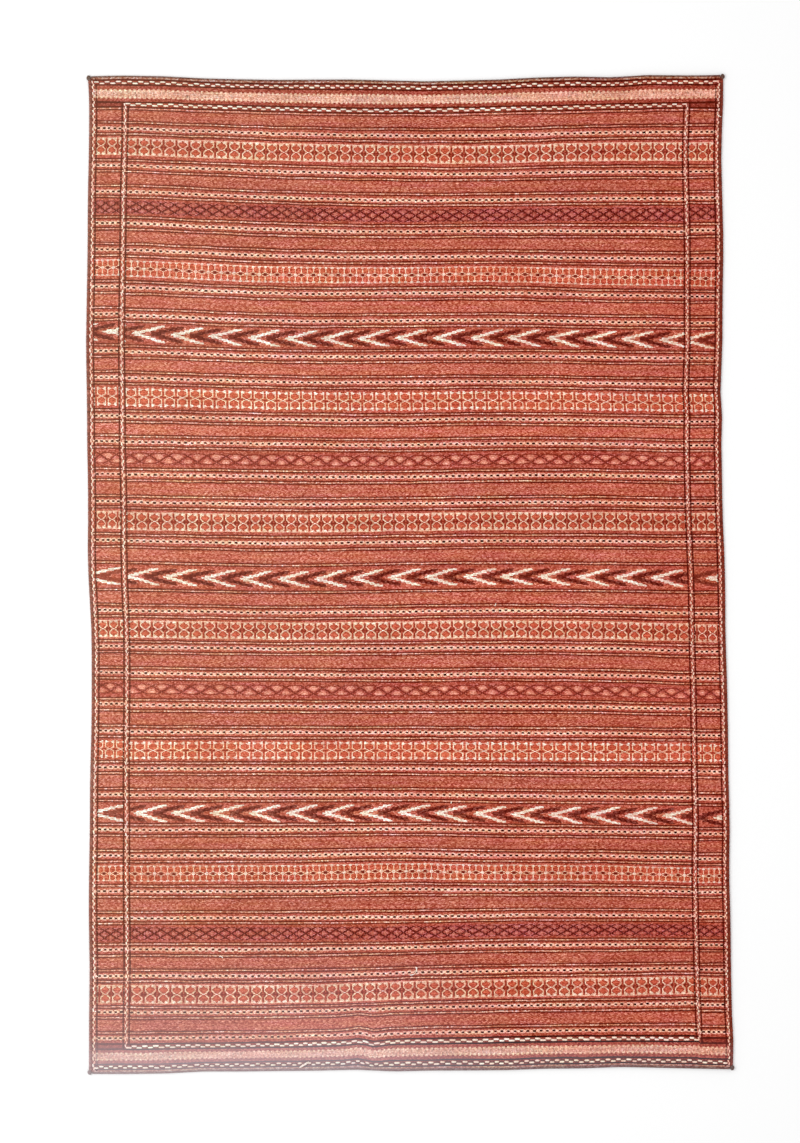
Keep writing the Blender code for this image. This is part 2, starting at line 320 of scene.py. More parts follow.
def wool(red, green, blue):
    """Linear colour of a dyed wool from its red, green and blue as seen, 0 to 255."""
    def linear(level):
        level = level / 255
        return level / 12.92 if level <= 0.04045 else ((level + 0.055) / 1.055) ** 2.4

    return linear(red), linear(green), linear(blue)


def colour_property(name, description, seen):
    """A colour that the user can change."""
    return bpy.props.FloatVectorProperty(
        name=name, description=description, subtype="COLOR", size=3, min=0.0, max=1.0, default=wool(*seen)
    )


def length_property(name, description, default):
    """A length that the user can change."""
    return bpy.props.FloatProperty(
        name=name, description=description, unit="LENGTH", subtype="DISTANCE",
        min=0.0, precision=5, default=default,
    )


def number_property(name, description, default):
    """A plain number that the user can change."""
    return bpy.props.FloatProperty(name=name, description=description, default=default)


class KilimColours(bpy.types.PropertyGroup):
    """Dyes of the rug's wools."""

    plain: colour_property("Plain ground", "Weft of the plain bands", (194, 103, 83))
    strip: colour_property("Strip", "Weft beside the rows of dots", (188, 94, 75))
    rose: colour_property("Rose", "Ground of the lattice bands", (185, 93, 84))
    blush: colour_property("Blush", "Pale insides of the diamonds", (232, 156, 134))
    madder: colour_property("Madder", "Light inside of a figure", (206, 98, 71))
    rust: colour_property("Rust", "Dark inside of a figure", (172, 67, 46))
    gap: colour_property("Gap", "Ground between two figures", (187, 87, 64))
    maroon: colour_property("Maroon", "Dark figures and twining", (92, 17, 8))
    faint: colour_property("Faint maroon", "Faded dark figures", (136, 42, 25))
    brown: colour_property("Brown black", "Dots of the thin rows", (46, 11, 6))
    dark_line: colour_property("Dark line", "Thin dark lines", (99, 20, 4))
    edge_line: colour_property("Edge line", "Dark lines along the twining", (90, 23, 7))
    light_line: colour_property("Light line", "Thin light lines", (246, 180, 156))
    olive_line: colour_property("Olive line", "Thin light lines that have yellowed", (232, 172, 142))
    cream: colour_property("Cream", "Undyed wool of the figures", (255, 229, 196))
    white: colour_property("White", "Bleached wool of the arrows and twining", (255, 250, 234))
    pink: colour_property("Pink cream", "Stained undyed wool", (254, 192, 172))
    tan: colour_property("Tan", "Wool of the toothed bands at the ends", (216, 173, 152))
    twine_ground: colour_property("Twining ground", "Weft under the twined dashes", (151, 65, 49))
    grey_purple: colour_property("Grey purple", "Faded wool between the twined dashes", (164, 108, 100))
    hem_edge: colour_property("Hem edge", "Dark outermost wefts of the hem", (122, 86, 75))
    hem_light: colour_property("Hem", "Light wefts of the hem", (180, 130, 110))
    fleck: colour_property("Fleck", "Small pale stitches of the ground", (236, 158, 134))
    overcast_left: colour_property("Left overcasting", "Faded yarn round the left side", (146, 92, 80))
    overcast_right: colour_property("Right overcasting", "Yarn round the right side", (126, 62, 46))
    knot: colour_property("Knot", "Yarn of the corner knots", (98, 78, 70))
    lint: colour_property("Lint", "Loose threads on the rug", (255, 240, 226))


class KilimSizes(bpy.types.PropertyGroup):
    """Sizes of the rug's stitches."""

    dot_pitch: length_property("Dot pitch", "From one dot of a row to the next", 12.45 * MM)
    dot_width: length_property("Dot width", "Width of a dot", 6.1 * MM)
    dot_height: length_property("Dot height", "Height of a dot along the rug", 4.2 * MM)
    lens_width: length_property("Lens width", "Width of the pale stitch between dots", 7.8 * MM)
    lens_height: length_property("Lens height", "Height of the pale stitch between dots", 6.2 * MM)
    fleck_pitch: length_property("Fleck pitch", "From one fleck of a row to the next", 12.4 * MM)
    fleck_width: length_property("Fleck width", "Width of a fleck", 6.2 * MM)
    fleck_height: length_property("Fleck height", "Height of a fleck along the rug", 2.6 * MM)
    twine_pitch: length_property("Twine pitch", "Between light dashes along an end", 19.8 * MM)
    side_twine_pitch: length_property("Side twine pitch", "Between light dashes along a side", 12.6 * MM)
    tooth_width: length_property("Tooth width", "Width of one stitch of a toothed band", 2.3 * MM)
    wrap_pitch: length_property("Wrap pitch", "From one turn of the overcasting to the next", 2.9 * MM)
    stitch_rise: length_property("Stitch rise", "How far a stitch stands out of the sheet", 0.55 * MM)
    twine_rise: length_property("Twine rise", "How far a twined dash stands out of its ridge", 0.95 * MM)
    line_rise: length_property("Line rise", "How far a thin light line stands out of the sheet", 0.3 * MM)


class KilimStage(bpy.types.PropertyGroup):
    """Camera, light and floor."""

    distance: length_property("Camera height", "Height of the camera over the rug", 4.8)
    view_height: length_property("View height", "Length of the floor that the picture shows", 2.24)
    view_x: number_property("View X", "Middle of the picture across", -0.0199)
    view_y: number_property("View Y", "Middle of the picture along", 0.0055)
    floor_size: length_property("Floor size", "Side of the floor", 14.0)
    floor_colour: colour_property("Floor", "Colour of the floor", (250, 250, 250))
    sky: number_property("Sky", "Strength of the even light", 0.885)
    lamp: number_property("Lamp", "Power of the soft lamp", 40.0)
    lamp_size: length_property("Lamp size", "Side of the soft lamp", 1.6)


# Where the lamp hangs, and how far the floor lies under the rug
LAMP_PLACE = (-2.2, 0.1, 2.8)
FLOOR_DROP = 0.2 * MM


def outline():
    """Edges of the solid sheet: left and right as (y, x), top and bottom as (x, y)."""
    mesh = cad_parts["kilim_cloth"].data
    edges = {"left": set(), "right": set(), "top": set(), "bottom": set()}
    for face in mesh.polygons:
        n = face.normal
        if abs(n.z) > 0.5:
            continue
        along_side = abs(n.x) > abs(n.y)
        name = ("left" if n.x < 0 else "right") if along_side else ("bottom" if n.y < 0 else "top")
        for index in face.vertices:
            x, y, _ = mesh.vertices[index].co
            edges[name].add((round(y, 6), round(x, 6)) if along_side else (round(x, 6), round(y, 6)))
    return {name: np.array(sorted(points)) for name, points in edges.items()}


OUTLINE = outline()


def edge(name, at):
    """Read one edge of the outline."""
    points = OUTLINE[name]
    return np.interp(at, points[:, 0], points[:, 1])


TOP_MIDDLE = float(edge("top", 0.0))
LENGTH = TOP_MIDDLE - float(edge("bottom", 0.0))


def across(u, y):
    """Where a place u of the weave lies across the rug, at a height y."""
    rows = np.array(PANELS)
    left = edge("left", y) - SELVEDGE_WIDTH
    right = edge("right", y) + SELVEDGE_WIDTH
    left_cord = left + np.interp(y, rows[:, 0] * MM, rows[:, 1] * MM)
    right_cord = right - np.interp(y, rows[:, 0] * MM, rows[:, 2] * MM)
    panel = HALF_WIDTH - INNER_SIDE_CORD
    drift = np.array(DRIFTS) * MM
    crept = u + np.interp(u, drift[:, 0], drift[:, 1])
    middle = left_cord + (right_cord - left_cord) * (crept + INNER_SIDE_CORD) / (2 * INNER_SIDE_CORD)
    in_left = left + (left_cord - left) * (u + HALF_WIDTH) / panel
    in_right = right - (right - right_cord) * (HALF_WIDTH - u) / panel
    in_left = np.where(u < -SHEET_EDGE, left + (u + HALF_WIDTH), in_left)
    in_right = np.where(u > SHEET_EDGE, right - (HALF_WIDTH - u), in_right)
    return np.where(u < -INNER_SIDE_CORD, in_left, np.where(u > INNER_SIDE_CORD, in_right, middle))


def bow(u, row):
    """How far the weft of a bow row lies below its place at the middle."""
    table = np.array([(b.left, b.part_left, 0.0, b.near_right, b.part_right, b.right) for b in BOWS]) * MM
    places = np.array(BOW_PLACES) * MM
    slopes = np.gradient(table, places, axis=1)
    at = np.clip(u, places[0], places[-1])
    i = np.clip(np.searchsorted(places, at) - 1, 0, len(places) - 2)
    span = places[i + 1] - places[i]
    t = (at - places[i]) / span
    start = (1 + 2 * t) * (1 - t) ** 2 * table[row, i] + t * (1 - t) ** 2 * span * slopes[row, i]
    end = t * t * (3 - 2 * t) * table[row, i + 1] - t * t * (1 - t) * span * slopes[row, i + 1]
    ground = start + end
    left = np.array([b.left_panel for b in BOWS])[row] * MM
    right = np.array([b.right_panel for b in BOWS])[row] * MM
    to_left = np.clip((-INNER_SIDE_CORD - u) / PANEL_JOG + 0.5, 0, 1)
    to_right = np.clip((u - INNER_SIDE_CORD) / PANEL_JOG + 0.5, 0, 1)
    return ground * (1 - to_left - to_right) + left * to_left + right * to_right


def down(u, v, x):
    """Height y on the rug of a place of the weave that lies at x across it."""
    places = np.array([b.v for b in BOWS]) * MM
    last = len(places) - 1
    k = np.searchsorted(places, v) - 1
    above, below = np.clip(k, 0, last), np.clip(k + 1, 0, last)
    y_above = np.where(k < 0, edge("top", x), TOP_MIDDLE - places[above] - bow(u, above))
    y_below = np.where(k >= last, edge("bottom", x), TOP_MIDDLE - places[below] - bow(u, below))
    v_above = np.where(k < 0, 0.0, places[above])
    v_below = np.where(k >= last, LENGTH, places[below])
    return y_above + (y_below - y_above) * (v - v_above) / (v_below - v_above)


def smooth_step(t):
    """Ease from 0 to 1."""
    t = np.clip(t, 0, 1)
    return t * t * (3 - 2 * t)


def smooth_field(seed, first, second):
    """Smooth random waves between -1 and 1 over two directions."""
    knots = np.random.default_rng(seed).uniform(-1, 1, (WAVE_KNOTS, WAVE_KNOTS))
    i, j = np.floor(first).astype(int), np.floor(second).astype(int)
    s, t = smooth_step(first - i), smooth_step(second - j)
    i, j, i_next, j_next = i % WAVE_KNOTS, j % WAVE_KNOTS, (i + 1) % WAVE_KNOTS, (j + 1) % WAVE_KNOTS
    near = knots[i, j] * (1 - s) + knots[i_next, j] * s
    far = knots[i, j_next] * (1 - s) + knots[i_next, j_next] * s
    return near * (1 - t) + far * t


def ripple(seed, at, length):
    """Smooth random waves between -1 and 1 along a line."""
    return smooth_field(seed, np.asarray(at) / length, np.zeros(np.shape(at)))


def drifting(seed, at, length):
    """Smooth random share between 0 and 1 along a line."""
    return 0.5 + 0.5 * ripple(seed, at, length)


def ridge(distance):
    """Share of a raised cord's height at a distance from its middle."""
    return smooth_step((CORD_FOOT - distance) / (CORD_FOOT - CORD_CREST))


def relief(u, v):
    """Height of the cords and hems over the plain ground of the sheet."""
    from_end = np.minimum(v, LENGTH - v)
    outer_top, outer_bottom = (sum(end.outer_rows) / 2 * MM for end in (TOP_FRAME, BOTTOM_FRAME))
    inner_top, inner_bottom = (sum(end.inner_rows) / 2 * MM for end in (TOP_FRAME, BOTTOM_FRAME))
    outer_ends = np.maximum(ridge(np.abs(v - outer_top)), ridge(np.abs(LENGTH - v - outer_bottom)))
    inner_ends = np.maximum(ridge(np.abs(v - inner_top)), ridge(np.abs(LENGTH - v - inner_bottom)))
    inner_ends = inner_ends * (np.abs(u) < INNER_SIDE_CORD + CORD_FOOT)
    outer_sides = ridge(np.abs(np.abs(u) - OUTER_SIDE_CORD))
    inner_sides = ridge(np.abs(np.abs(u) - INNER_SIDE_CORD))
    inner_sides = inner_sides * ((v > inner_top - CORD_FOOT) & (LENGTH - v > inner_bottom - CORD_FOOT))
    cords = np.maximum.reduce([outer_ends, inner_ends, outer_sides, inner_sides]) * CORD_RISE
    hem = smooth_step((HEM_WIDTH - from_end) / HEM_SLOPE) * HEM_RISE
    return np.maximum(cords, hem)


def surface(u, v, x, y):
    """Height of the sheet's upper face."""
    out = np.minimum(np.abs(x) / SWELL_HALF_WIDTH, 1.0)
    wave = 0.5 + 0.5 * np.sin(2 * math.pi * (y + SWELL_SLANT * x) / SWELL_LENGTH)
    share = SWELL_SHARE_MIDDLE + (1 - SWELL_SHARE_MIDDLE) * out * out
    return THICKNESS + SWELL * wave * share + relief(u, v)


def lay(u, v, up, on_floor=False):
    """Carry places of the weave onto the laid rug, as rows of x, y and z."""
    u, v = np.asarray(u, float), np.asarray(v, float)
    from_rim = np.minimum.reduce([v, LENGTH - v, HALF_WIDTH - np.abs(u)])
    hand = smooth_field(11, u / WANDER_ALONG, v / WANDER_ROWS) * WANDER
    out = (u - PUCKER_MIDDLE) / PUCKER_HALF
    grown = smooth_step((v - PUCKER_ALONG[0]) / (PUCKER_ALONG[1] - PUCKER_ALONG[0]))
    pucker = PUCKER * grown * out * np.exp((1 - out * out) / 2)
    at = v + (hand + pucker) * np.clip(from_rim / WANDER_FADE, 0, 1)
    y = down(u, at, u)
    for _ in range(2):
        x = across(u, y)
        y = down(u, at, x)
    z = up if on_floor else surface(u, v, x, y) + up
    return np.stack([x, y, np.broadcast_to(z, x.shape)], -1)


def fill(data, field, values):
    """Write rows of values into a layer of a mesh."""
    data.foreach_set(field, np.asarray(values).astype(np.float32).ravel())


def opaque(colour):
    """Rows of colour held between 0 and 1, with a full alpha."""
    return np.concatenate([np.clip(colour, 0, 1), np.ones((len(colour), 1))], 1)


def linked(name, data):
    """Link a mesh, lamp or camera as a named object at the origin."""
    made = bpy.data.objects.new(name, data)
    bpy.context.scene.collection.objects.link(made)
    return made


def closed_mesh(name, bm):
    """Turn closed shapes into a mesh, faces outwards and smooth all round."""
    bmesh.ops.recalc_face_normals(bm, faces=bm.faces)
    mesh = bpy.data.meshes.new(name)
    bm.to_mesh(mesh)
    bm.free()
    mesh.shade_smooth()
    return mesh


def finished(name, mesh, node=None):
    """Link a finished mesh as a piece of the rug, and hide the part of its node."""
    piece = linked(name, mesh)
    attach(piece, BODY)
    if node:
        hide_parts(node)


def hull_stitch(name, points):
    """A small closed stitch wrapped over its points."""
    bm = bmesh.new()
    for point in points:
        bm.verts.new(point)
    bmesh.ops.convex_hull(bm, input=bm.verts)
    return linked(name, closed_mesh(name, bm))


def box_stitch():
    """Short stitch with square ends, one unit long, wide and high."""
    base = [(x, y, -0.6) for x in (-0.5, 0.5) for y in (-0.5, 0.5)]
    return hull_stitch("box_stitch", base + [(-0.33, 0.0, 1.0), (0.33, 0.0, 1.0)])


def lens_stitch():
    """Stitch that narrows to a point at each end."""
    base = [(-0.5, 0.0, -0.4), (0.5, 0.0, -0.4)]
    base += [(x, y, -0.4) for x in (-0.2, 0.2) for y in (-0.5, 0.5)]
    return hull_stitch("lens_stitch", base + [(-0.16, 0.0, 1.0), (0.16, 0.0, 1.0)])


def plump_stitch():
    """Full stitch of a twined cord, with a rounded back."""
    base = [(0.5 * math.cos(a), 0.5 * math.sin(a), -0.5) for a in np.arange(8) * math.pi / 4 + math.pi / 8]
    base = [(x * (1.06 if abs(x) > 0.3 else 1.3), y, z) for x, y, z in base]
    middle = [(x, y, 0.62) for x in (-0.34, 0.34) for y in (-0.3, 0.3)]
    return hull_stitch("plump_stitch", base + middle + [(-0.24, 0.0, 1.0), (0.24, 0.0, 1.0)])


WRAP_AROUND = 10
WRAP_SQUARENESS = 0.75


def wrap_turn():
    """One turn of yarn round the edge cord: a closed ring, one unit along, standing on z = 0."""
    bm = bmesh.new()
    rings = []
    for i in range(WRAP_AROUND):
        angle = 2 * math.pi * (i + 0.5) / WRAP_AROUND
        c, s = math.cos(angle), math.sin(angle)
        side = math.copysign(abs(c) ** WRAP_SQUARENESS, c)
        up = math.copysign(abs(s) ** WRAP_SQUARENESS, s)
        ring = []
        for along, reach in ((-0.62, 0.8), (0.0, 1.0), (0.62, 0.8), (0.0, 0.55)):
            ring.append(bm.verts.new((side * reach / 2, along, (up * reach + 1) / 2)))
        rings.append(ring)
    for ring, following in zip(rings, rings[1:] + rings[:1]):
        for j in range(4):
            k = (j + 1) % 4
            bm.faces.new((ring[j], ring[k], following[k], following[j]))
    return linked("wrap_turn", closed_mesh("wrap_turn", bm))


SHAPES = {"box": box_stitch, "lens": lens_stitch, "plump": plump_stitch, "wrap": wrap_turn}


class Stitches:
    """Stitches in weave coordinates, gathered before they are worked into one piece."""

    def __init__(self, seed):
        self.random = np.random.default_rng(seed)
        self.rows = []

    def add(self, u, v, size, turn, colour, spread=0.06):
        """Add stitches at u, v of one size (length, width, height), turn and colour."""
        count = max(np.size(u), np.size(v))
        made = np.zeros((count, 9))
        for k, values in enumerate((u, v, *size, turn)):
            made[:, k] = values
        light = 1 + self.random.normal(0, spread, count)
        made[:, 6:] = np.asarray(colour) * light[:, None]
        self.rows.append(made)

    def table(self):
        """All stitches, a row for each."""
        return np.concatenate(self.rows)


def add_node(tree, kind, inputs=None, **settings):
    """Add a node with its settings, its inputs linked or given plain values."""
    node = tree.nodes.new(kind)
    for name, value in settings.items():
        setattr(node, name, value)
    for key, given in (inputs or {}).items():
        if isinstance(given, bpy.types.NodeSocket):
            tree.links.new(given, node.inputs[key])
        else:
            node.inputs[key].default_value = given
    return node


def calculated(tree, operation, first, second):
    """One sum of two values, each linked or plain."""
    return add_node(tree, "ShaderNodeMath", {0: first, 1: second}, operation=operation).outputs[0]


# Inputs of the tree that works stitches
STITCH_INPUTS = {
    "Points": "NodeSocketGeometry",
    "Stitch": "NodeSocketObject",
    "Wool": "NodeSocketMaterial",
    "Uneven turn": "NodeSocketFloat",
    "Uneven size": "NodeSocketFloat",
    "Seed": "NodeSocketInt",
}


def stitch_tree():
    """Geometry Nodes that set a stitch on every point, uneven in size and turn, and join them."""
    tree = bpy.data.node_groups.new("work_stitches", "GeometryNodeTree")
    names = {}
    for name, kind in STITCH_INPUTS.items():
        names[name] = tree.interface.new_socket(name, in_out="INPUT", socket_type=kind).identifier
    tree.interface.new_socket("Rug", in_out="OUTPUT", socket_type="NodeSocketGeometry")
    given = add_node(tree, "NodeGroupInput").outputs

    def attribute(name, kind):
        made = add_node(tree, "GeometryNodeInputNamedAttribute", {"Name": name}, data_type=kind)
        return made.outputs["Attribute"]

    def spread(name, seed_step):
        low = calculated(tree, "MULTIPLY", given[name], -1.0)
        seed = calculated(tree, "ADD", given["Seed"], seed_step)
        return add_node(tree, "FunctionNodeRandomValue", {2: low, 3: given[name], "Seed": seed}).outputs[1]

    turn = calculated(tree, "ADD", attribute("turn", "FLOAT"), spread("Uneven turn", 0))
    angles = add_node(tree, "ShaderNodeCombineXYZ", {"Z": turn}).outputs[0]
    fuller = calculated(tree, "ADD", spread("Uneven size", 1), 1.0)
    size = {0: attribute("size", "FLOAT_VECTOR"), "Scale": fuller}
    shape = add_node(tree, "GeometryNodeObjectInfo", {"Object": given["Stitch"]})
    place = add_node(tree, "GeometryNodeInstanceOnPoints", {
        "Points": given["Points"],
        "Instance": shape.outputs["Geometry"],
        "Rotation": add_node(tree, "FunctionNodeEulerToRotation", {0: angles}).outputs[0],
        "Scale": add_node(tree, "ShaderNodeVectorMath", size, operation="SCALE").outputs[0],
    })
    real = add_node(tree, "GeometryNodeRealizeInstances", {"Geometry": place.outputs["Instances"]})
    dye = {"Geometry": real.outputs["Geometry"], "Material": given["Wool"]}
    dyed = add_node(tree, "GeometryNodeSetMaterial", dye)
    add_node(tree, "NodeGroupOutput", {0: dyed.outputs["Geometry"]})
    return tree, names


def bake_cells(mesh, shape, count):
    """Give each stitch its own small cell of the map that holds its colour."""
    corners = len(shape.loops)
    points = np.array([v.co[:2] for v in shape.vertices])
    low, high = points.min(0), points.max(0)
    index = np.array([loop.vertex_index for loop in shape.loops])
    inside = 0.2 + 0.6 * (points[index] - low) / (high - low)
    side = math.ceil(math.sqrt(count))
    number = np.repeat(np.arange(count), corners)
    cell = np.stack([number % side, number // side], -1)
    places = (cell + np.tile(inside, (count, 1))) / side
    fill(mesh.uv_layers.new(name="OFBake").uv, "vector", places)


def work(
    name, stitches, shape_name, seed, finish="stitch_wool", node=None,
    on_floor=False, uneven_turn=0.03, uneven_size=0.06,
):
    """Work gathered stitches into one piece with the tree above, and lay it on the rug."""
    table = stitches.table()
    points = bpy.data.meshes.new(name + "_points")
    points.vertices.add(len(table))
    fill(points.vertices, "co", np.stack([table[:, 0], -table[:, 1], np.zeros(len(table))], -1))
    fill(points.attributes.new("size", "FLOAT_VECTOR", "POINT").data, "vector", table[:, 2:5])
    fill(points.attributes.new("turn", "FLOAT", "POINT").data, "value", table[:, 5])
    fill(points.attributes.new("yarn", "FLOAT_COLOR", "POINT").data, "color", opaque(table[:, 6:]))
    holder = linked(name + "_holder", points)
    shape = SHAPES[shape_name]()
    wool_finish = finish_of(finish)
    shape.data.materials.append(wool_finish)
    tree, names = stitch_tree()
    modifier = holder.modifiers.new("stitches", "NODES")
    modifier.node_group = tree
    inputs = {"Stitch": shape, "Wool": wool_finish, "Seed": seed}
    inputs.update({"Uneven turn": uneven_turn, "Uneven size": uneven_size})
    for socket_name, value in inputs.items():
        modifier[names[socket_name]] = value
    bpy.context.view_layer.update()
    evaluated = holder.evaluated_get(bpy.context.evaluated_depsgraph_get())
    mesh = bpy.data.meshes.new_from_object(evaluated)
    mesh.name = name
    if len(mesh.vertices) != len(table) * len(shape.data.vertices):
        raise RuntimeError(name + ": some stitches were not worked")
    co = np.zeros(len(mesh.vertices) * 3, np.float32)
    mesh.vertices.foreach_get("co", co)
    co = co.reshape(-1, 3).astype(float)
    fill(mesh.vertices, "co", lay(co[:, 0], -co[:, 1], co[:, 2], on_floor))
    bake_cells(mesh, shape.data, len(table))
    mesh.update()
    holder.modifiers.remove(modifier)
    for spare in (holder, shape):
        bpy.data.objects.remove(spare, do_unlink=True)
    finished(name, mesh, node)


# Tints of the uneven dye
ROSE_DYE = (1.01, 0.92, 1.08)
OCHRE_DYE = (0.99, 1.07, 0.86)
LILAC_DYE = (1.0, 0.975, 1.01)
ORANGE_DYE = (1.05, 0.995, 0.95)

# Painted light in the dyes: a painted haze and lightening towards the left side and painted shade
# towards the right, and a painted haze of light over the foot's left corner and over the foot's rim:
# its colour, its share at most, and from where to where it grows along and across
LEFT_PAINTED_HAZE = (0.9, 0.54, 0.36)
LEFT_HAZE_SHARE = 0.06
LEFT_PAINTED_LIGHT = (0.975, 1.03, 1.01)
RIGHT_PAINTED_SHADE = (0.955, 0.81, 0.78)
CORNER_PAINTED_HAZE = (0.78, 0.6, 0.65)
CORNER_HAZE_SHARE = 0.17
CORNER_HAZE_ALONG = (-705 * MM, -950 * MM)
CORNER_HAZE_ACROSS = (190 * MM, -130 * MM)
RIM_PAINTED_HAZE = (0.78, 0.76, 0.86)
RIM_HAZE_SHARE = 0.2
RIM_HAZE_ALONG = (-905 * MM, -945 * MM)
RIM_HAZE_ACROSS = (900 * MM, -300 * MM)

# How strongly the red, green and blue of a dye follow the light and dark of the wool
DYE_DEPTH = (0.72, 1.5, 1.85)


# Numbers of the Mix node's sockets for colours
MIX_SHARE, MIX_FIRST, MIX_SECOND, MIX_RESULT = 0, 6, 7, 2


# Noises over the wool: how fine, how detailed and how stretched along x, y and z
Noise = namedtuple("Noise", "scale detail stretch")
CLOUD = Noise(4.0, 3.0, (1.0, 1.6, 1.0))
STREAK = Noise(1.0, 3.0, (9.0, 120.0, 1.0))
HAIR = Noise(620.0, 2.0, (1.0, 1.0, 1.0))
SPECK = Noise(330.0, 1.0, (0.8, 1.15, 1.0))
PATCH = Noise(1.0, 3.0, (15.0, 95.0, 1.0))
BROAD = Noise(5.3, 2.0, (1.0, 1.8, 1.0))


def noise_node(tree, vector, noise):
    """Value of one of the noises above at a place."""
    mapping = add_node(tree, "ShaderNodeMapping", {"Vector": vector, "Scale": noise.stretch})
    inputs = {"Vector": mapping.outputs[0], "Scale": noise.scale, "Detail": noise.detail}
    return add_node(tree, "ShaderNodeTexNoise", inputs).outputs["Fac"]


def ranged(tree, value, low, high, start=0.3, end=0.7):
    """Stretch a value from the usual middle range of a noise, or another, to low and high."""
    inputs = {"Value": value, "From Min": start, "From Max": end, "To Min": low, "To Max": high}
    return add_node(tree, "ShaderNodeMapRange", inputs).outputs["Result"]


def shaded_dye(tree, colour, light):
    """Make a dye lighter and paler, or darker and redder, by a value round one."""
    depths = {k: calculated(tree, "POWER", light, depth) for k, depth in enumerate(DYE_DEPTH)}
    inputs = {0: colour, 1: add_node(tree, "ShaderNodeCombineXYZ", depths).outputs[0]}
    return add_node(tree, "ShaderNodeVectorMath", inputs, operation="MULTIPLY").outputs[0]


def colour_mix(tree, value, first, second, blend="MIX"):
    """Mix two colours, each a linked output or a plain colour, by a linked or plain share."""
    inputs = {MIX_SHARE: value, MIX_FIRST: first, MIX_SECOND: second}
    return add_node(tree, "ShaderNodeMix", inputs, data_type="RGBA", blend_type=blend).outputs[MIX_RESULT]


def tinted(tree, colour, value, low, high):
    """Multiply a colour by a tint that goes from low to high with the value."""
    tint = colour_mix(tree, value, (*low, 1.0), (*high, 1.0))
    return colour_mix(tree, 1.0, colour, tint, "MULTIPLY")


def painted_light_and_haze(tree, colour, place):
    """Paint light into a dye from side to side and towards the foot: lighter and hazier towards the left,
    darker towards the right, and a pale haze towards the foot.
    """
    parts = add_node(tree, "ShaderNodeSeparateXYZ", {0: place})

    def growing(axis, start, end, most=1.0):
        return ranged(tree, parts.outputs[axis], 0.0, most, start, end)

    # Painted light: a pale haze and lightening towards the left side, painted shade towards the right.
    colour = colour_mix(tree, growing("X", 0.0, -HALF_WIDTH, LEFT_HAZE_SHARE), colour, (*LEFT_PAINTED_HAZE, 1.0))
    colour = colour_mix(tree, growing("X", 0.0, -HALF_WIDTH), colour, (*LEFT_PAINTED_LIGHT, 1.0), "MULTIPLY")
    colour = colour_mix(tree, growing("X", 0.0, HALF_WIDTH), colour, (*RIGHT_PAINTED_SHADE, 1.0), "MULTIPLY")
    # Painted haze of light over the foot's left corner.
    corner = calculated(tree, "MULTIPLY", growing("Y", *CORNER_HAZE_ALONG, CORNER_HAZE_SHARE), growing("X", *CORNER_HAZE_ACROSS))
    # Painted haze of light along the foot's rim, stronger towards the left.
    rim = calculated(tree, "MULTIPLY", growing("Y", *RIM_HAZE_ALONG, RIM_HAZE_SHARE), growing("X", *RIM_HAZE_ACROSS))
    colour = colour_mix(tree, corner, colour, (*CORNER_PAINTED_HAZE, 1.0))
    return colour_mix(tree, rim, colour, (*RIM_PAINTED_HAZE, 1.0))


BLACK = (0.0, 0.0, 0.0, 1.0)
WHITE = (1.0, 1.0, 1.0, 1.0)
# Share of a pick's height that the seam between two picks takes
SEAM_SHARE = 0.12


def wool_material(name, grain, bump, weave):
    """Matt wool that takes its dye from the yarn, uneven over the rug, grainy close to."""
    made = bpy.data.materials.new(name)
    made.use_nodes = True
    tree = made.node_tree
    shader = tree.nodes["Principled BSDF"]
    yarn = add_node(tree, "ShaderNodeAttribute", attribute_name="yarn")
    place = add_node(tree, "ShaderNodeTexCoord").outputs["Object"]
    cloud, streak, hair, speck, patch, broad = (
        noise_node(tree, place, noise) for noise in (CLOUD, STREAK, HAIR, SPECK, PATCH, BROAD)
    )
    light = ranged(tree, cloud, 0.92, 1.08)
    for value, half_range in ((streak, 0.12), (hair, grain * 0.5), (speck, grain)):
        light = calculated(tree, "MULTIPLY", light, ranged(tree, value, 1 - half_range, 1 + half_range))
    height = hair
    if weave:
        length, pick = weave
        brick = add_node(tree, "ShaderNodeTexBrick", {
            "Vector": add_node(tree, "ShaderNodeUVMap", uv_map="weave").outputs[0],
            "Color1": BLACK, "Color2": WHITE, "Mortar": BLACK, "Scale": 1.0, "Mortar Smooth": 0.5,
            "Mortar Size": pick * SEAM_SHARE, "Brick Width": length, "Row Height": pick,
        })
        picks = ranged(tree, brick.outputs["Color"], 0.5, 1.6, 0.0, 1.0)
        light = calculated(tree, "MULTIPLY", light, picks)
        seam = {0: hair, 1: brick.outputs["Fac"]}
        height = add_node(tree, "ShaderNodeMath", seam, operation="SUBTRACT", use_clamp=True).outputs[0]
    evenness = 0.0 if weave else 0.3
    patchy = ranged(tree, patch, evenness, 1 - evenness)
    colour = tinted(tree, yarn.outputs["Color"], patchy, ROSE_DYE, OCHRE_DYE)
    colour = tinted(tree, colour, ranged(tree, broad, 0.0, 1.0), LILAC_DYE, ORANGE_DYE)
    colour = shaded_dye(tree, colour, light)
    # The base colour gets painted light: lighter and hazier to the left, darker to the right, and a painted
    # haze at the foot.
    tree.links.new(painted_light_and_haze(tree, colour, place), shader.inputs["Base Color"])
    tree.links.new(ranged(tree, speck, 0.86, 1.0), shader.inputs["Roughness"])
    for name, value in (("Sheen Weight", 0.004), ("Sheen Roughness", 0.6), ("Specular IOR Level", 0.02)):
        shader.inputs[name].default_value = value
    relief_node = add_node(tree, "ShaderNodeBump", {"Strength": 0.7, "Distance": bump, "Height": height})
    tree.links.new(relief_node.outputs["Normal"], shader.inputs["Normal"])
    return made


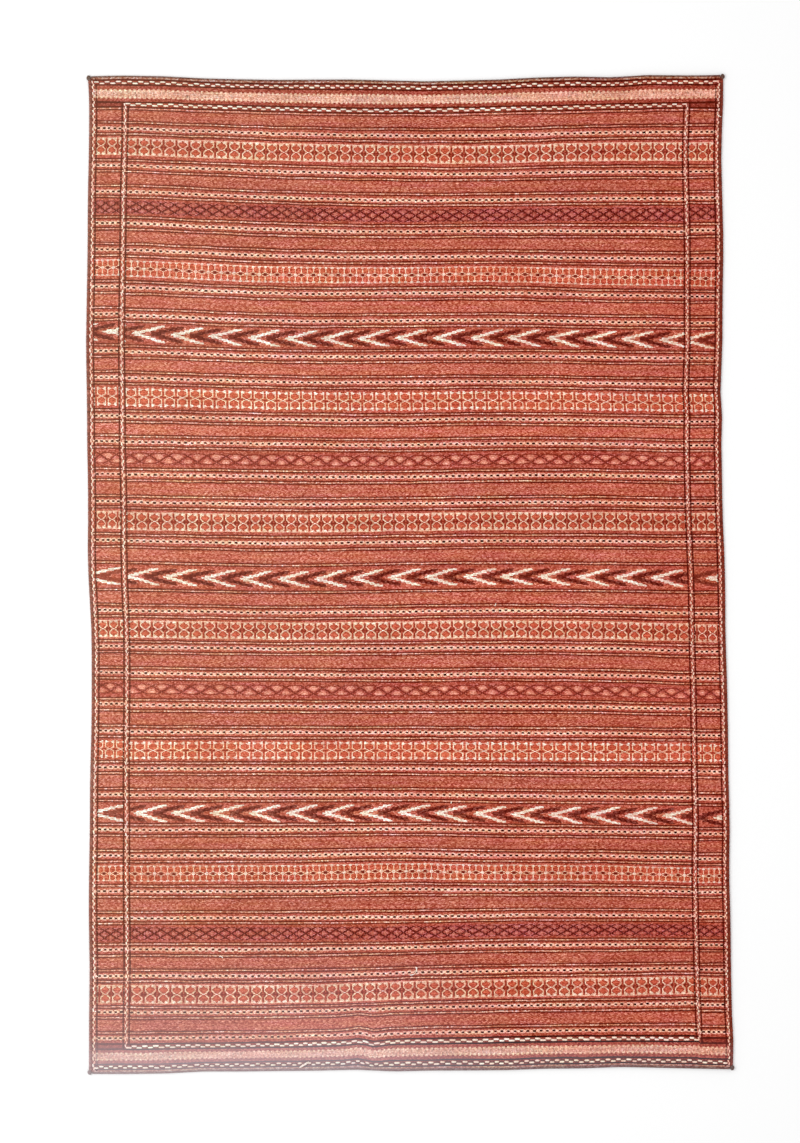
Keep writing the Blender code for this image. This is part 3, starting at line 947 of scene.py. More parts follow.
# Finishes: how grainy the wool is, how deep its bump, and the length and height of a pick of
# the woven ground, or nothing for stitches.
Finish = namedtuple("Finish", "grain bump weave")
FINISHES = {
    "ground_wool": Finish(0.42, 0.3 * MM, (3.6 * MM, 1.9 * MM)),
    "stitch_wool": Finish(0.28, 0.2 * MM, None),
    "twined_wool": Finish(0.12, 0.2 * MM, None),
    "wound_wool": Finish(0.3, 0.4 * MM, None),
}


def finish_of(name):
    """One material of each kind, made when it is first asked for."""
    finish = FINISHES[name]
    return bpy.data.materials.get(name) or wool_material(name, finish.grain, finish.bump, finish.weave)


# Fields across the rug that a figure or row fills: from, to, and whether a side panel.
Field = namedtuple("Field", "start end panel")
PANEL_INSIDE = OUTER_SIDE_CORD - CORD_HALF_WIDTH
CORD_OUTSIDE = INNER_SIDE_CORD + CORD_HALF_WIDTH
CORD_INSIDE = INNER_SIDE_CORD - CORD_HALF_WIDTH
FIELDS = (
    Field(-PANEL_INSIDE, -CORD_OUTSIDE, True),
    Field(-CORD_INSIDE, CORD_INSIDE, False),
    Field(CORD_OUTSIDE, PANEL_INSIDE, True),
)


def chart_rows(chart):
    """All rows of a chart, with the lower half mirrored from the upper."""
    return chart.rows + (chart.rows[-2::-1] if chart.mirrored else ())


def chart_runs(rows):
    """Stitches of a chart as (letter, first column, last, first row, last): each run of one
    letter is a stitch, and single cells over each other are one upright stitch."""
    runs, upright = [], {}
    for r, row in enumerate(rows):
        start = 0
        for c in range(1, len(row) + 1):
            if c < len(row) and row[c] == row[start]:
                continue
            letter, first, last = row[start], start, c - 1
            start = c
            if letter == ".":
                continue
            above = upright.get((first, last, letter))
            joins = first == last or (above and letter in "orgb" and above[4] == above[3])
            if above and above[4] == r - 1 and joins:
                above[4] = r
                continue
            run = [letter, first, last, r, r]
            upright[(first, last, letter)] = run
            runs.append(run)
    return runs


def letter_colours():
    """Colour of each letter of the charts."""
    c = bpy.context.scene.kilim_colours
    return {
        "c": c.cream, "w": c.white, "p": c.pink, "b": c.blush, "o": c.madder, "r": c.rust,
        "g": c.gap, "m": c.maroon, "n": c.faint, "f": mixed(c.blush, c.rose, 0.5),
        "d": mixed(c.maroon, c.rust, 0.3),
    }


def mixed(first, second, share):
    """Mix two colours by one share, or by a share for each stitch."""
    share = np.asarray(share)[..., None]
    return np.asarray(first) * (1 - share) + np.asarray(second) * share


# The least part of a cell that is worked where a figure is cut off, how much of a stroke's
# spread goes up and down, and how low the inside of a figure lies
LEAST_CELL = 0.4
STROKE_DOWN = 0.7
INSIDE_RISE = 0.4


def repeat_figure(stitches, band, number):
    """Set a band's figure again and again across the rug, as far as its fields reach."""
    sizes, colours = bpy.context.scene.kilim_sizes, letter_colours()
    chart = CHARTS[band.figure]
    rows = chart_rows(chart)
    columns = len(rows[0])
    middle = columns / 2
    row_height = 2 * band.half * MM / len(rows)
    for field in FIELDS:
        pitch = band.pitch * MM * (PANEL_SHRINK if field.panel else 1.0)
        cell = pitch / columns
        first = band.first * MM - (columns / 2) * cell
        tiles = np.arange(math.floor((field.start - first) / pitch), math.ceil((field.end - first) / pitch))
        for letter, c0, c1, r0, r1 in chart_runs(rows):
            narrow = chart.narrow if letter in "cwp" else 1.0
            start, end = (middle + (c - middle) * narrow for c in (c0, c1 + 1))
            left = np.maximum(first + tiles * pitch + start * cell, field.start)
            right = np.minimum(first + tiles * pitch + end * cell, field.end)
            keep = right - left > LEAST_CELL * cell
            u = (left + right)[keep] / 2
            if not len(u):
                continue
            inside = letter in "org"
            stroke = 0.0 if inside else (DARK_SPREAD if letter in "dmn" else chart.spread)
            length = (right - left)[keep] + stroke * cell
            width = (r1 - r0 + 1 + STROKE_DOWN * stroke) * row_height
            v = band.middle * MM - band.half * MM + (r0 + r1 + 1) / 2 * row_height
            v = v + stitches.random.normal(0, ROW_SHAKE, len(u))
            rise = sizes.stitch_rise * (INSIDE_RISE if inside else 1.0)
            share = drifting(100 + number, u, 60 * MM)
            colour = mixed(colours[letter], colours["p" if letter in "cw" else letter], 0.1 + 0.4 * share)
            upright = r1 - r0 + 1 > c1 - c0 + 1
            if upright:
                stitches.add(u, v, (width, length, rise), math.pi / 2, colour)
            else:
                stitches.add(u, v, (length, width, rise), 0.0, colour)


def work_arrow(stitches, tip, stretch, v, steps, colour, field, rise):
    """Short weft stitches of one arrow, a few rows for each of its steps."""
    for step in steps:
        beside = step.near > 0
        rows = max(1, round((step.far - step.near) / ARROW_ROW))
        for k in range(rows):
            out = step.near + (k + 0.5) * (step.far - step.near) / rows
            for sign in ((1, -1) if beside else (1,)):
                shift = stitches.random.uniform(-ARROW_SHAKE, ARROW_SHAKE)
                shift += (k - (rows - 1) / 2) * ARROW_SLANT * beside
                left = max(tip + (step.start + shift) * stretch * MM, field.start)
                right = min(tip + (step.end + shift) * stretch * MM, field.end)
                if right - left < ARROW_LEAST:
                    continue
                size = (right - left, (step.far - step.near) / rows * ARROW_OVERLAP * MM, rise)
                stitches.add((left + right) / 2, v + sign * out * MM, size, 0.0, colour)


def arrow_tips(band, field, number, random):
    """Arrows of a band in one field: tip, how far drawn out, how faint its shadow, whether it is white."""
    if field.panel:
        arrow = PANEL_ARROWS[number]
        tip, stretch, faint = arrow[:3] if field.start < 0 else arrow[3:]
        before = ((tip - band.pitch) * MM, 1.0, faint, field.start < 0)
        return [before, (tip * MM, stretch, faint, True)]
    count = math.ceil((field.end - band.first * MM) / (band.pitch * MM))
    tips = []
    for k in range(-1, count):
        stray = random.uniform(-ARROW_STRAY, ARROW_STRAY)
        tips.append(((band.first + k * band.pitch + stray) * MM, 1.0, 0.0, True))
    return tips


# Ends of the rug, and whether their rows are counted from the foot
ENDS = ((TOP_FRAME, False), (BOTTOM_FRAME, True))


def from_top(place, from_foot):
    """How far down the weave a row lies whose place is given in millimetres from one end."""
    return LENGTH - place * MM if from_foot else place * MM


class KilimOperator:
    """What all of the rug's operators share."""

    bl_options = {"REGISTER", "UNDO"}


def frame_stripes(end):
    """Stripes of the sheet at one end, from the end inwards, as (until, colour)."""
    c = bpy.context.scene.kilim_colours
    dark, edge_dark = c.dark_line, c.brown if end is BOTTOM_FRAME else c.edge_line
    strip = mixed(c.strip, c.twine_ground, 0.45)
    light = mixed(c.light_line, c.strip, 0.5)
    pale = mixed(c.tan, c.strip, 0.25)
    stripes = [
        (end.hem_light - 1.3, c.hem_edge), (end.hem_light + 1.5, c.hem_light),
        (end.outer_dark[0] + 1.0, edge_dark), (end.outer_dark[1] - 1.5, c.twine_ground),
        (end.outer_dark[1] + 1.5, edge_dark), (end.zigzag[0] + 2.0, strip), (end.zigzag[1] - 2.0, pale),
        (end.band_dark - 1.6, strip), (end.band_dark + 1.6, edge_dark),
        (end.inner_dark - 1.6, c.twine_ground), (end.inner_dark + 1.0, edge_dark),
    ]
    if end.light_line:
        stripes += [(end.light_line + 1.1, light), (end.last_dark + 1.0, dark)]
    else:
        stripes += [(end.inner_dark + 4.0, strip)]
    return stripes


# Half widths in millimetres: of a light line, of it and its dark lines, and of a row of dots
LINE_HALF = 1.15
LINE_REACH = 3.8
DOTS_HALF = 3.2


def line_stripes(middle, before):
    """A thin light line between two dark ones, as (until, colour)."""
    c = bpy.context.scene.kilim_colours
    return [
        (middle - LINE_REACH, before), (middle - LINE_HALF, c.dark_line),
        (middle + LINE_HALF, c.light_line), (middle + LINE_REACH, c.dark_line),
    ]


def dots_stripes(dots):
    """The red strip with its row of dots, as (until, colour)."""
    c = bpy.context.scene.kilim_colours
    pale = mixed(c.strip, c.pink, 0.7)
    return [(dots - DOTS_HALF, c.strip), (dots + DOTS_HALF, pale)]


def figure_ground(band):
    """Ground colour of a band of figures."""
    c = bpy.context.scene.kilim_colours
    warm = mixed(c.madder, c.gap, 0.35)
    return {
        "hexagon": c.gap, "ring": warm, "star": warm,
        "lattice": c.rose, "diamond": mixed(c.rose, c.strip, 0.6), "arrow": c.plain,
    }[band.figure]


def sheet_stripes():
    """All stripes of the sheet from its top end down, as (until in metres, colour)."""
    c = bpy.context.scene.kilim_colours
    plain = np.array(c.plain)
    stripes = frame_stripes(TOP_FRAME)
    for band in BANDS:
        m, ground = band.middle, figure_ground(band)
        stripes += line_stripes(m - band.far_above, plain * band.shade)
        if band.dots_above:
            stripes += dots_stripes(m - band.dots_above)
            stripes += line_stripes(m - band.near_above, c.strip)
        stripes += [(m - band.half - 0.8, c.strip), (m + band.half + 0.8, ground)]
        if band.dots_above:
            stripes += line_stripes(m + band.near_below, c.strip)
            stripes += dots_stripes(m + band.dots_below)
        stripes += line_stripes(m + band.far_below, c.strip)
    foot = LENGTH / MM
    stripes += line_stripes(foot - LAST_LINE, plain * LAST_SHADE)
    stripes += dots_stripes(foot - LAST_DOTS)
    bottom = frame_stripes(BOTTOM_FRAME)
    stripes.append((foot - bottom[-1][0], c.strip))
    starts = [0.0] + [until for until, _ in bottom[:-1]]
    stripes += [(foot - start, colour) for start, (_, colour) in reversed([*zip(starts, bottom)])]
    return [(until * MM, np.array(colour)) for until, colour in stripes]


# Rows of the sheet's mesh: the thinnest strip that gets one, and the widest
THINNEST_ROW = 0.05 * MM
WIDEST_ROW = 9.0 * MM


def sheet_rows():
    """Row heights down the sheet, the colour of each strip, and how far each row is raised."""
    rise = bpy.context.scene.kilim_sizes.line_rise
    light = np.array(bpy.context.scene.kilim_colours.light_line)
    rows, colours, raised = [0.0], [], [0.0]
    for until, colour in sheet_stripes():
        start = rows[-1]
        if until - start < THINNEST_ROW:
            continue
        steps = max(1, math.ceil((until - start) / WIDEST_ROW))
        if np.allclose(colour, light):
            steps = 2
        for k in range(steps):
            rows.append(start + (until - start) * (k + 1) / steps)
            colours.append(colour)
            raised.append(rise if np.allclose(colour, light) and k == 0 else 0.0)
    rows[-1] = LENGTH
    return np.array(rows), np.array(colours), np.array(raised)


GROUND_COLUMNS = 72
PANEL_COLUMNS = 5


def sheet_columns():
    """Column places across the sheet, close together over the side cords."""
    near_edge = [SHEET_EDGE, OUTER_SIDE_CORD + CORD_CREST, OUTER_SIDE_CORD - CORD_CREST]
    foot = OUTER_SIDE_CORD - CORD_FOOT
    panel = np.linspace(foot, INNER_SIDE_CORD + CORD_FOOT, PANEL_COLUMNS + 1)
    inner = [INNER_SIDE_CORD + CORD_CREST, INNER_SIDE_CORD - CORD_CREST]
    right = np.array([*near_edge, *panel, *inner])[::-1]
    first = INNER_SIDE_CORD - CORD_FOOT
    ground = np.linspace(-first, first, GROUND_COLUMNS + 1)
    return np.concatenate([-right[::-1], ground, right])


def grid_faces(rows, columns, offset=0, flipped=False):
    """Corner numbers of a grid of quads, numbered row by row."""
    a = np.arange(rows * columns).reshape(rows, columns) + offset
    quads = [a[:-1, :-1], a[1:, :-1], a[1:, 1:], a[:-1, 1:]]
    if flipped:
        quads.reverse()
    return np.stack([q.ravel() for q in quads], -1)


BAKE_COLUMNS = 3
BAKE_COLUMN_WIDTH = 0.3


def sheet_bake_map(u, v, lower):
    """Places on the bake's map: the upper face in three tall columns, the lower in one."""
    across_share = (u + HALF_WIDTH) / (2 * HALF_WIDTH)
    part = np.minimum((v / LENGTH * BAKE_COLUMNS).astype(int), BAKE_COLUMNS - 1)
    part = np.repeat(part.reshape(-1, 4).min(1), 4)
    along = v / LENGTH * BAKE_COLUMNS - part
    upper_x = (part + 0.02 + 0.96 * across_share) * BAKE_COLUMN_WIDTH
    upper_y = 0.01 + 0.98 * along / 1.03
    lower_x = BAKE_COLUMNS * BAKE_COLUMN_WIDTH + 0.005 + 0.09 * across_share
    return np.where(lower, lower_x, upper_x), np.where(lower, 0.01 + 0.98 * v / LENGTH, upper_y)


# Painted shade: how much darker the underside and the rim are coloured than the face
UNDERSIDE_PAINTED_SHADE = 0.92
RIM_PAINTED_SHADE = 0.8

# How much of a thin line's dye is lost where it has faded most
LIGHT_LINE_FADE = 0.55
DARK_LINE_FADE = 0.18

# How far a strip's edge wobbles along the weft, over what length, and how far from the ends
STRIP_WOBBLE = 0.22 * MM
STRIP_WOBBLE_LENGTH = 38 * MM
END_CLEAR = 0.2 * MM


class KILIM_OT_cloth(KilimOperator, bpy.types.Operator):
    """Weave the rug's sheet: striped wefts over the flat underside"""

    bl_idname = "kilim.cloth"
    bl_label = "Cloth"

    def execute(self, context):
        rows, strip_colours, raised = sheet_rows()
        columns = sheet_columns()
        nr, nc = len(rows), len(columns)
        uu, vv = np.meshgrid(columns, rows)
        inner = (vv > END_CLEAR) & (vv < LENGTH - END_CLEAR)
        wobble = np.stack([ripple(500 + j % 7, columns + 0.37 * j, STRIP_WOBBLE_LENGTH) for j in range(nr)])
        vv = vv + STRIP_WOBBLE * wobble * inner
        upper = lay(uu.ravel(), vv.ravel(), np.repeat(raised, nc))
        faces = grid_faces(nr, nc)
        # The lower face repeats the upper one's places, flat on the floor.
        lower = upper.copy()
        lower[:, 2] = 0.0
        under = grid_faces(nr, nc, nr * nc, True)
        a = np.arange(nr * nc).reshape(nr, nc)
        rim = np.concatenate([a[:, 0], a[-1, 1:], a[-2::-1, -1], a[0, -2:0:-1]])
        following = np.roll(rim, -1)
        wall = np.stack([rim, rim + nr * nc, following + nr * nc, following], -1)
        all_faces = np.concatenate([faces, under, wall])
        mesh = bpy.data.meshes.new("rug_cloth")
        mesh.from_pydata(np.concatenate([upper, lower]).tolist(), [], all_faces.tolist())
        strip = np.repeat(np.arange(nr - 1), nc - 1)
        column = np.tile(np.arange(nc - 1), nr - 1)
        shade = self.shades(strip_colours, columns)
        corners = shade[strip[:, None], column[:, None] + np.array([0, 0, 1, 1])]
        # Painted shade: the rim walls and the underside take the face's colours made darker.
        rim_painted_shade = shade[np.minimum(rim // nc, nr - 2), rim % nc] * RIM_PAINTED_SHADE
        following_painted_shade = np.roll(rim_painted_shade, -1, axis=0)
        painted_shade_walls = np.stack([rim_painted_shade, rim_painted_shade, following_painted_shade, following_painted_shade], 1)
        corner = np.concatenate([corners, corners[:, ::-1] * UNDERSIDE_PAINTED_SHADE, painted_shade_walls]).reshape(-1, 3)
        fill(mesh.attributes.new("yarn", "FLOAT_COLOR", "CORNER").data, "color", opaque(corner))
        index = all_faces.ravel()
        u_all, v_all = np.tile(uu.ravel(), 2)[index], np.tile(vv.ravel(), 2)[index]
        fill(mesh.uv_layers.new(name="weave").uv, "vector", np.stack([u_all, LENGTH - v_all], -1))
        is_lower = np.repeat(np.arange(len(all_faces)) >= len(faces), 4)
        bake_places = np.stack(sheet_bake_map(u_all, v_all, is_lower), -1)
        fill(mesh.uv_layers.new(name="OFBake").uv, "vector", bake_places)
        mesh.materials.append(finish_of("ground_wool"))
        mesh.shade_smooth()
        mesh.update()
        finished("rug_cloth", mesh, "kilim_cloth")
        return {"FINISHED"}

    def shades(self, strip_colours, columns):
        """Colour of each strip at each column: its dye, uneven along the weft."""
        random = np.random.default_rng(7)
        c = bpy.context.scene.kilim_colours
        shade = np.empty((len(strip_colours), len(columns), 3))
        for j, colour in enumerate(strip_colours):
            fade = drifting(900 + j, columns, 75 * MM)
            along = 1 + 0.06 * ripple(1400 + j, columns, 30 * MM)[:, None]
            row = np.tile(colour, (len(columns), 1))
            if np.allclose(colour, c.light_line):
                row = mixed(row, c.olive_line, drifting(1800 + j // 2, columns, 110 * MM))
                row = mixed(row, c.strip, LIGHT_LINE_FADE * fade)
            elif np.allclose(colour, c.dark_line):
                row = mixed(row, c.strip, DARK_LINE_FADE * fade)
            shade[j] = row * along * random.normal(1.0, 0.04)
        return np.clip(shade, 0, 1)


# Pale stitches that arch over and under a dot: their width, height and place
ARC_WIDTH = 9.4 * MM
ARC_HEIGHT = 2.4 * MM
ARC_OUT = 3.0 * MM

# How much closer the dots and how much narrower the stitches between them are in a side
# panel, and how far a dot keeps from a field's end
DOT_CLOSER = 0.9
DOT_SHRINK = 0.92
DOT_CLEAR = 1.5 * MM


class KILIM_OT_dots(KilimOperator, bpy.types.Operator):
    """Work the rows of dark dots with pale stitches between them"""

    bl_idname = "kilim.dots"
    bl_label = "Rows of dots"

    def execute(self, context):
        sizes, colours = context.scene.kilim_sizes, context.scene.kilim_colours
        stitches, dots = Stitches(21), Stitches(22)
        middles = []
        for band in BANDS:
            if band.dots_above:
                middles += [band.middle - band.dots_above, band.middle + band.dots_below]
        middles.append(LENGTH / MM - LAST_DOTS)
        for number, middle in enumerate(middles):
            for field in FIELDS:
                self.row(stitches, dots, sizes, colours, number, middle * MM, field)
        work("dot_rows", stitches, "lens", 3)
        work("dots", dots, "plump", 4, uneven_turn=0.12, uneven_size=0.14)
        return {"FINISHED"}

    def row(self, stitches, dark, sizes, colours, number, v, field):
        """One row of dots, evened out to the width of its field."""
        pitch = sizes.dot_pitch * (DOT_CLOSER if field.panel else 1.0)
        count = round((field.end - field.start) / pitch)
        pitch = (field.end - field.start) / count
        start = field.start + pitch * (0.5 if field.panel else stitches.random.uniform(0.2, 0.8))
        dots = start + pitch * np.arange(count)
        dots = dots[(dots > field.start + DOT_CLEAR) & (dots < field.end - DOT_CLEAR)]
        dots = dots + stitches.random.normal(0, DOT_SHAKE, len(dots))
        between = (dots[:-1] + dots[1:]) / 2
        ends = [dots[0] - pitch / 2, dots[-1] + pitch / 2]
        between = np.concatenate([between, [e for e in ends if field.start < e < field.end]])
        shaky = stitches.random.normal(0, DOT_SHAKE_DOWN, len(dots))
        shrink = DOT_SHRINK if field.panel else 1.0
        rise = sizes.stitch_rise
        pale = mixed(colours.cream, colours.pink, 0.35 + 0.6 * drifting(200 + number, between, 70 * MM))
        stitches.add(between, v, (sizes.lens_width * shrink, sizes.lens_height, rise), 0.0, pale)
        arc = mixed(colours.cream, colours.pink, 0.3 + 0.7 * drifting(240 + number, dots, 90 * MM))
        for sign in (-1, 1):
            stitches.add(dots, v + sign * ARC_OUT, (ARC_WIDTH * shrink, ARC_HEIGHT, rise), 0.0, arc)
        dark.add(dots, v + shaky, (sizes.dot_width, sizes.dot_height, rise * 1.3), 0.0, colours.brown, 0.3)


# Rows of flecks in a plain band: how far down it, how strong, and the first one's place in
# pitches. They keep clear of the dark line each side of the band, by millimetres.
FleckRow = namedtuple("FleckRow", "share strength first")
FLECK_ROWS = (
    FleckRow(0.22, 1.0, 0.3),
    FleckRow(0.5, 0.55, 0.8),
    FleckRow(0.78, 0.9, 0.3),
)
FLECK_CLEAR = 2.6


class KILIM_OT_flecks(KilimOperator, bpy.types.Operator):
    """Work the small pale stitches in the plain bands"""

    bl_idname = "kilim.flecks"
    bl_label = "Flecks"

    def execute(self, context):
        sizes, colours = context.scene.kilim_sizes, context.scene.kilim_colours
        stitches = Stitches(31)
        starts = [TOP_FRAME.last_dark + 1] + [band.middle + band.far_below + FLECK_CLEAR for band in BANDS]
        ends = [band.middle - band.far_above - FLECK_CLEAR for band in BANDS]
        ends += [LENGTH / MM - LAST_LINE - FLECK_CLEAR]
        pitch = sizes.fleck_pitch
        size = (sizes.fleck_width, sizes.fleck_height, sizes.stitch_rise * 0.8)
        for start, end in zip(starts, ends):
            for row in FLECK_ROWS:
                v = (start + (end - start) * row.share) * MM
                for field in FIELDS:
                    u = np.arange(field.start + pitch * row.first, field.end - 2 * MM, pitch)
                    u = u + stitches.random.normal(0, FLECK_SHAKE, len(u))
                    tone = np.clip(row.strength * stitches.random.uniform(0.5, 1.4, len(u)), 0, 1)
                    colour = mixed(colours.plain, colours.fleck, tone)
                    shaken = v + stitches.random.normal(0, FLECK_SHAKE_DOWN, len(u))
                    stitches.add(u, shaken, size, 0.0, colour)
        work("flecks", stitches, "box", 5, uneven_size=0.2)
        return {"FINISHED"}


# Pieces made of charted figures: the seed of each one's stitches, and its figures
FigurePiece = namedtuple("FigurePiece", "name seed figures")
FIGURE_PIECES = (
    FigurePiece("hexagon_figures", 41, ("hexagon",)),
    FigurePiece("ring_figures", 43, ("ring",)),
    FigurePiece("star_figures", 45, ("star",)),
    FigurePiece("lattice_figures", 47, ("lattice", "diamond")),
)


class KILIM_OT_figures(KilimOperator, bpy.types.Operator):
    """Work the bands of hexagons, rings, stars, lattices and diamonds from their charts"""

    bl_idname = "kilim.figures"
    bl_label = "Charted figures"

    def execute(self, context):
        for piece in FIGURE_PIECES:
            stitches = Stitches(piece.seed)
            for number, band in enumerate(BANDS):
                if band.figure in piece.figures:
                    repeat_figure(stitches, band, number)
            work(piece.name, stitches, "box", piece.seed)
        return {"FINISHED"}


class KILIM_OT_arrows(KilimOperator, bpy.types.Operator):
    """Work the bands of white arrows with dark ones between them"""

    bl_idname = "kilim.arrows"
    bl_label = "Arrows"

    def execute(self, context):
        sizes, colours = context.scene.kilim_sizes, context.scene.kilim_colours
        stitches = Stitches(51)
        bands = [band for band in BANDS if band.figure == "arrow"]
        for number, band in enumerate(bands):
            v = band.middle * MM
            for field in FIELDS:
                for tip, stretch, faint, white in arrow_tips(band, field, number, stitches.random):
                    shadow = mixed(colours.maroon, colours.gap, 0.8 * faint)
                    behind, rise = tip + band.pitch / 2 * MM, sizes.stitch_rise
                    work_arrow(stitches, behind, stretch, v, DARK_ARROW, shadow, field, rise * 0.8)
                    if white:
                        work_arrow(stitches, tip, stretch, v, WHITE_ARROW, colours.white, field, rise)
        work("arrow_figures", stitches, "box", 51)
        return {"FINISHED"}


# Stitches of a tooth, how they overlap, and how short the low teeth are
TOOTH_STITCHES = 4
TOOTH_OVERLAP = 1.15
TOOTH_SHORT = 0.8


class KILIM_OT_toothed_bands(KilimOperator, bpy.types.Operator):
    """Work the cream bands with toothed edges at both ends"""

    bl_idname = "kilim.toothed_bands"
    bl_label = "Toothed bands"

    def execute(self, context):
        sizes, colours = context.scene.kilim_sizes, context.scene.kilim_colours
        stitches = Stitches(61)
        for number, (end, from_foot) in enumerate(ENDS):
            middle = from_top(sum(end.zigzag) / 2, from_foot)
            height = (end.zigzag[1] - end.zigzag[0]) * MM
            u = np.arange(-PANEL_INSIDE, PANEL_INSIDE, sizes.tooth_width)
            tall = (np.arange(len(u)) // 2) % 2 == 0
            length = height * np.where(tall, 1.0, TOOTH_SHORT)
            share = drifting(300 + number, u, 80 * MM)
            colour = mixed(colours.tan, colours.pink, 0.2 + 0.5 * share)
            bright = mixed(colours.cream, colours.pink, 0.7 * share)
            for k in range(TOOTH_STITCHES):
                v = middle + length * ((k + 0.5) / TOOTH_STITCHES - 0.5)
                tips = tall & (k in (0, TOOTH_STITCHES - 1))
                for n in range(len(u)):
                    tooth = length[n] / TOOTH_STITCHES * TOOTH_OVERLAP
                    size = (tooth, sizes.tooth_width * TOOTH_OVERLAP, sizes.stitch_rise)
                    shade = bright[n] if tips[n] else colour[n]
                    stitches.add(u[n], v[n], size, math.pi / 2, shade, 0.04 if tips[n] else 0.18)
        work("toothed_bands", stitches, "box", 61)
        return {"FINISHED"}


# Twined cords: how far the dashes of a side lie from its middle, and its dark edges
SIDE_CORD_OFFSET = 1.0 * MM
SIDE_CORD_EDGE = 5.6 * MM

# How tall the light dashes are at the top, the foot and the sides, and the dark ones
TOP_DASH, FOOT_DASH, SIDE_DASH = 3.7 * MM, 4.4 * MM, 3.2 * MM
END_DARK_DASH, SIDE_DARK_DASH = 2.8 * MM, 2.5 * MM
DARK_DASH_RISE = 0.7

# Dark stitches beside the cords: their pitch and length at the ends and the sides
END_EDGE_PITCH, END_EDGE_LENGTH = 6.0 * MM, 7.5 * MM
SIDE_EDGE_PITCH, SIDE_EDGE_LENGTH, SIDE_EDGE_WIDTH = 6.2 * MM, 7.0 * MM, 4.3 * MM

# How far the dashes of the ends and the sides lean, in radians
END_LEAN = -0.02
SIDE_LEAN = 0.22


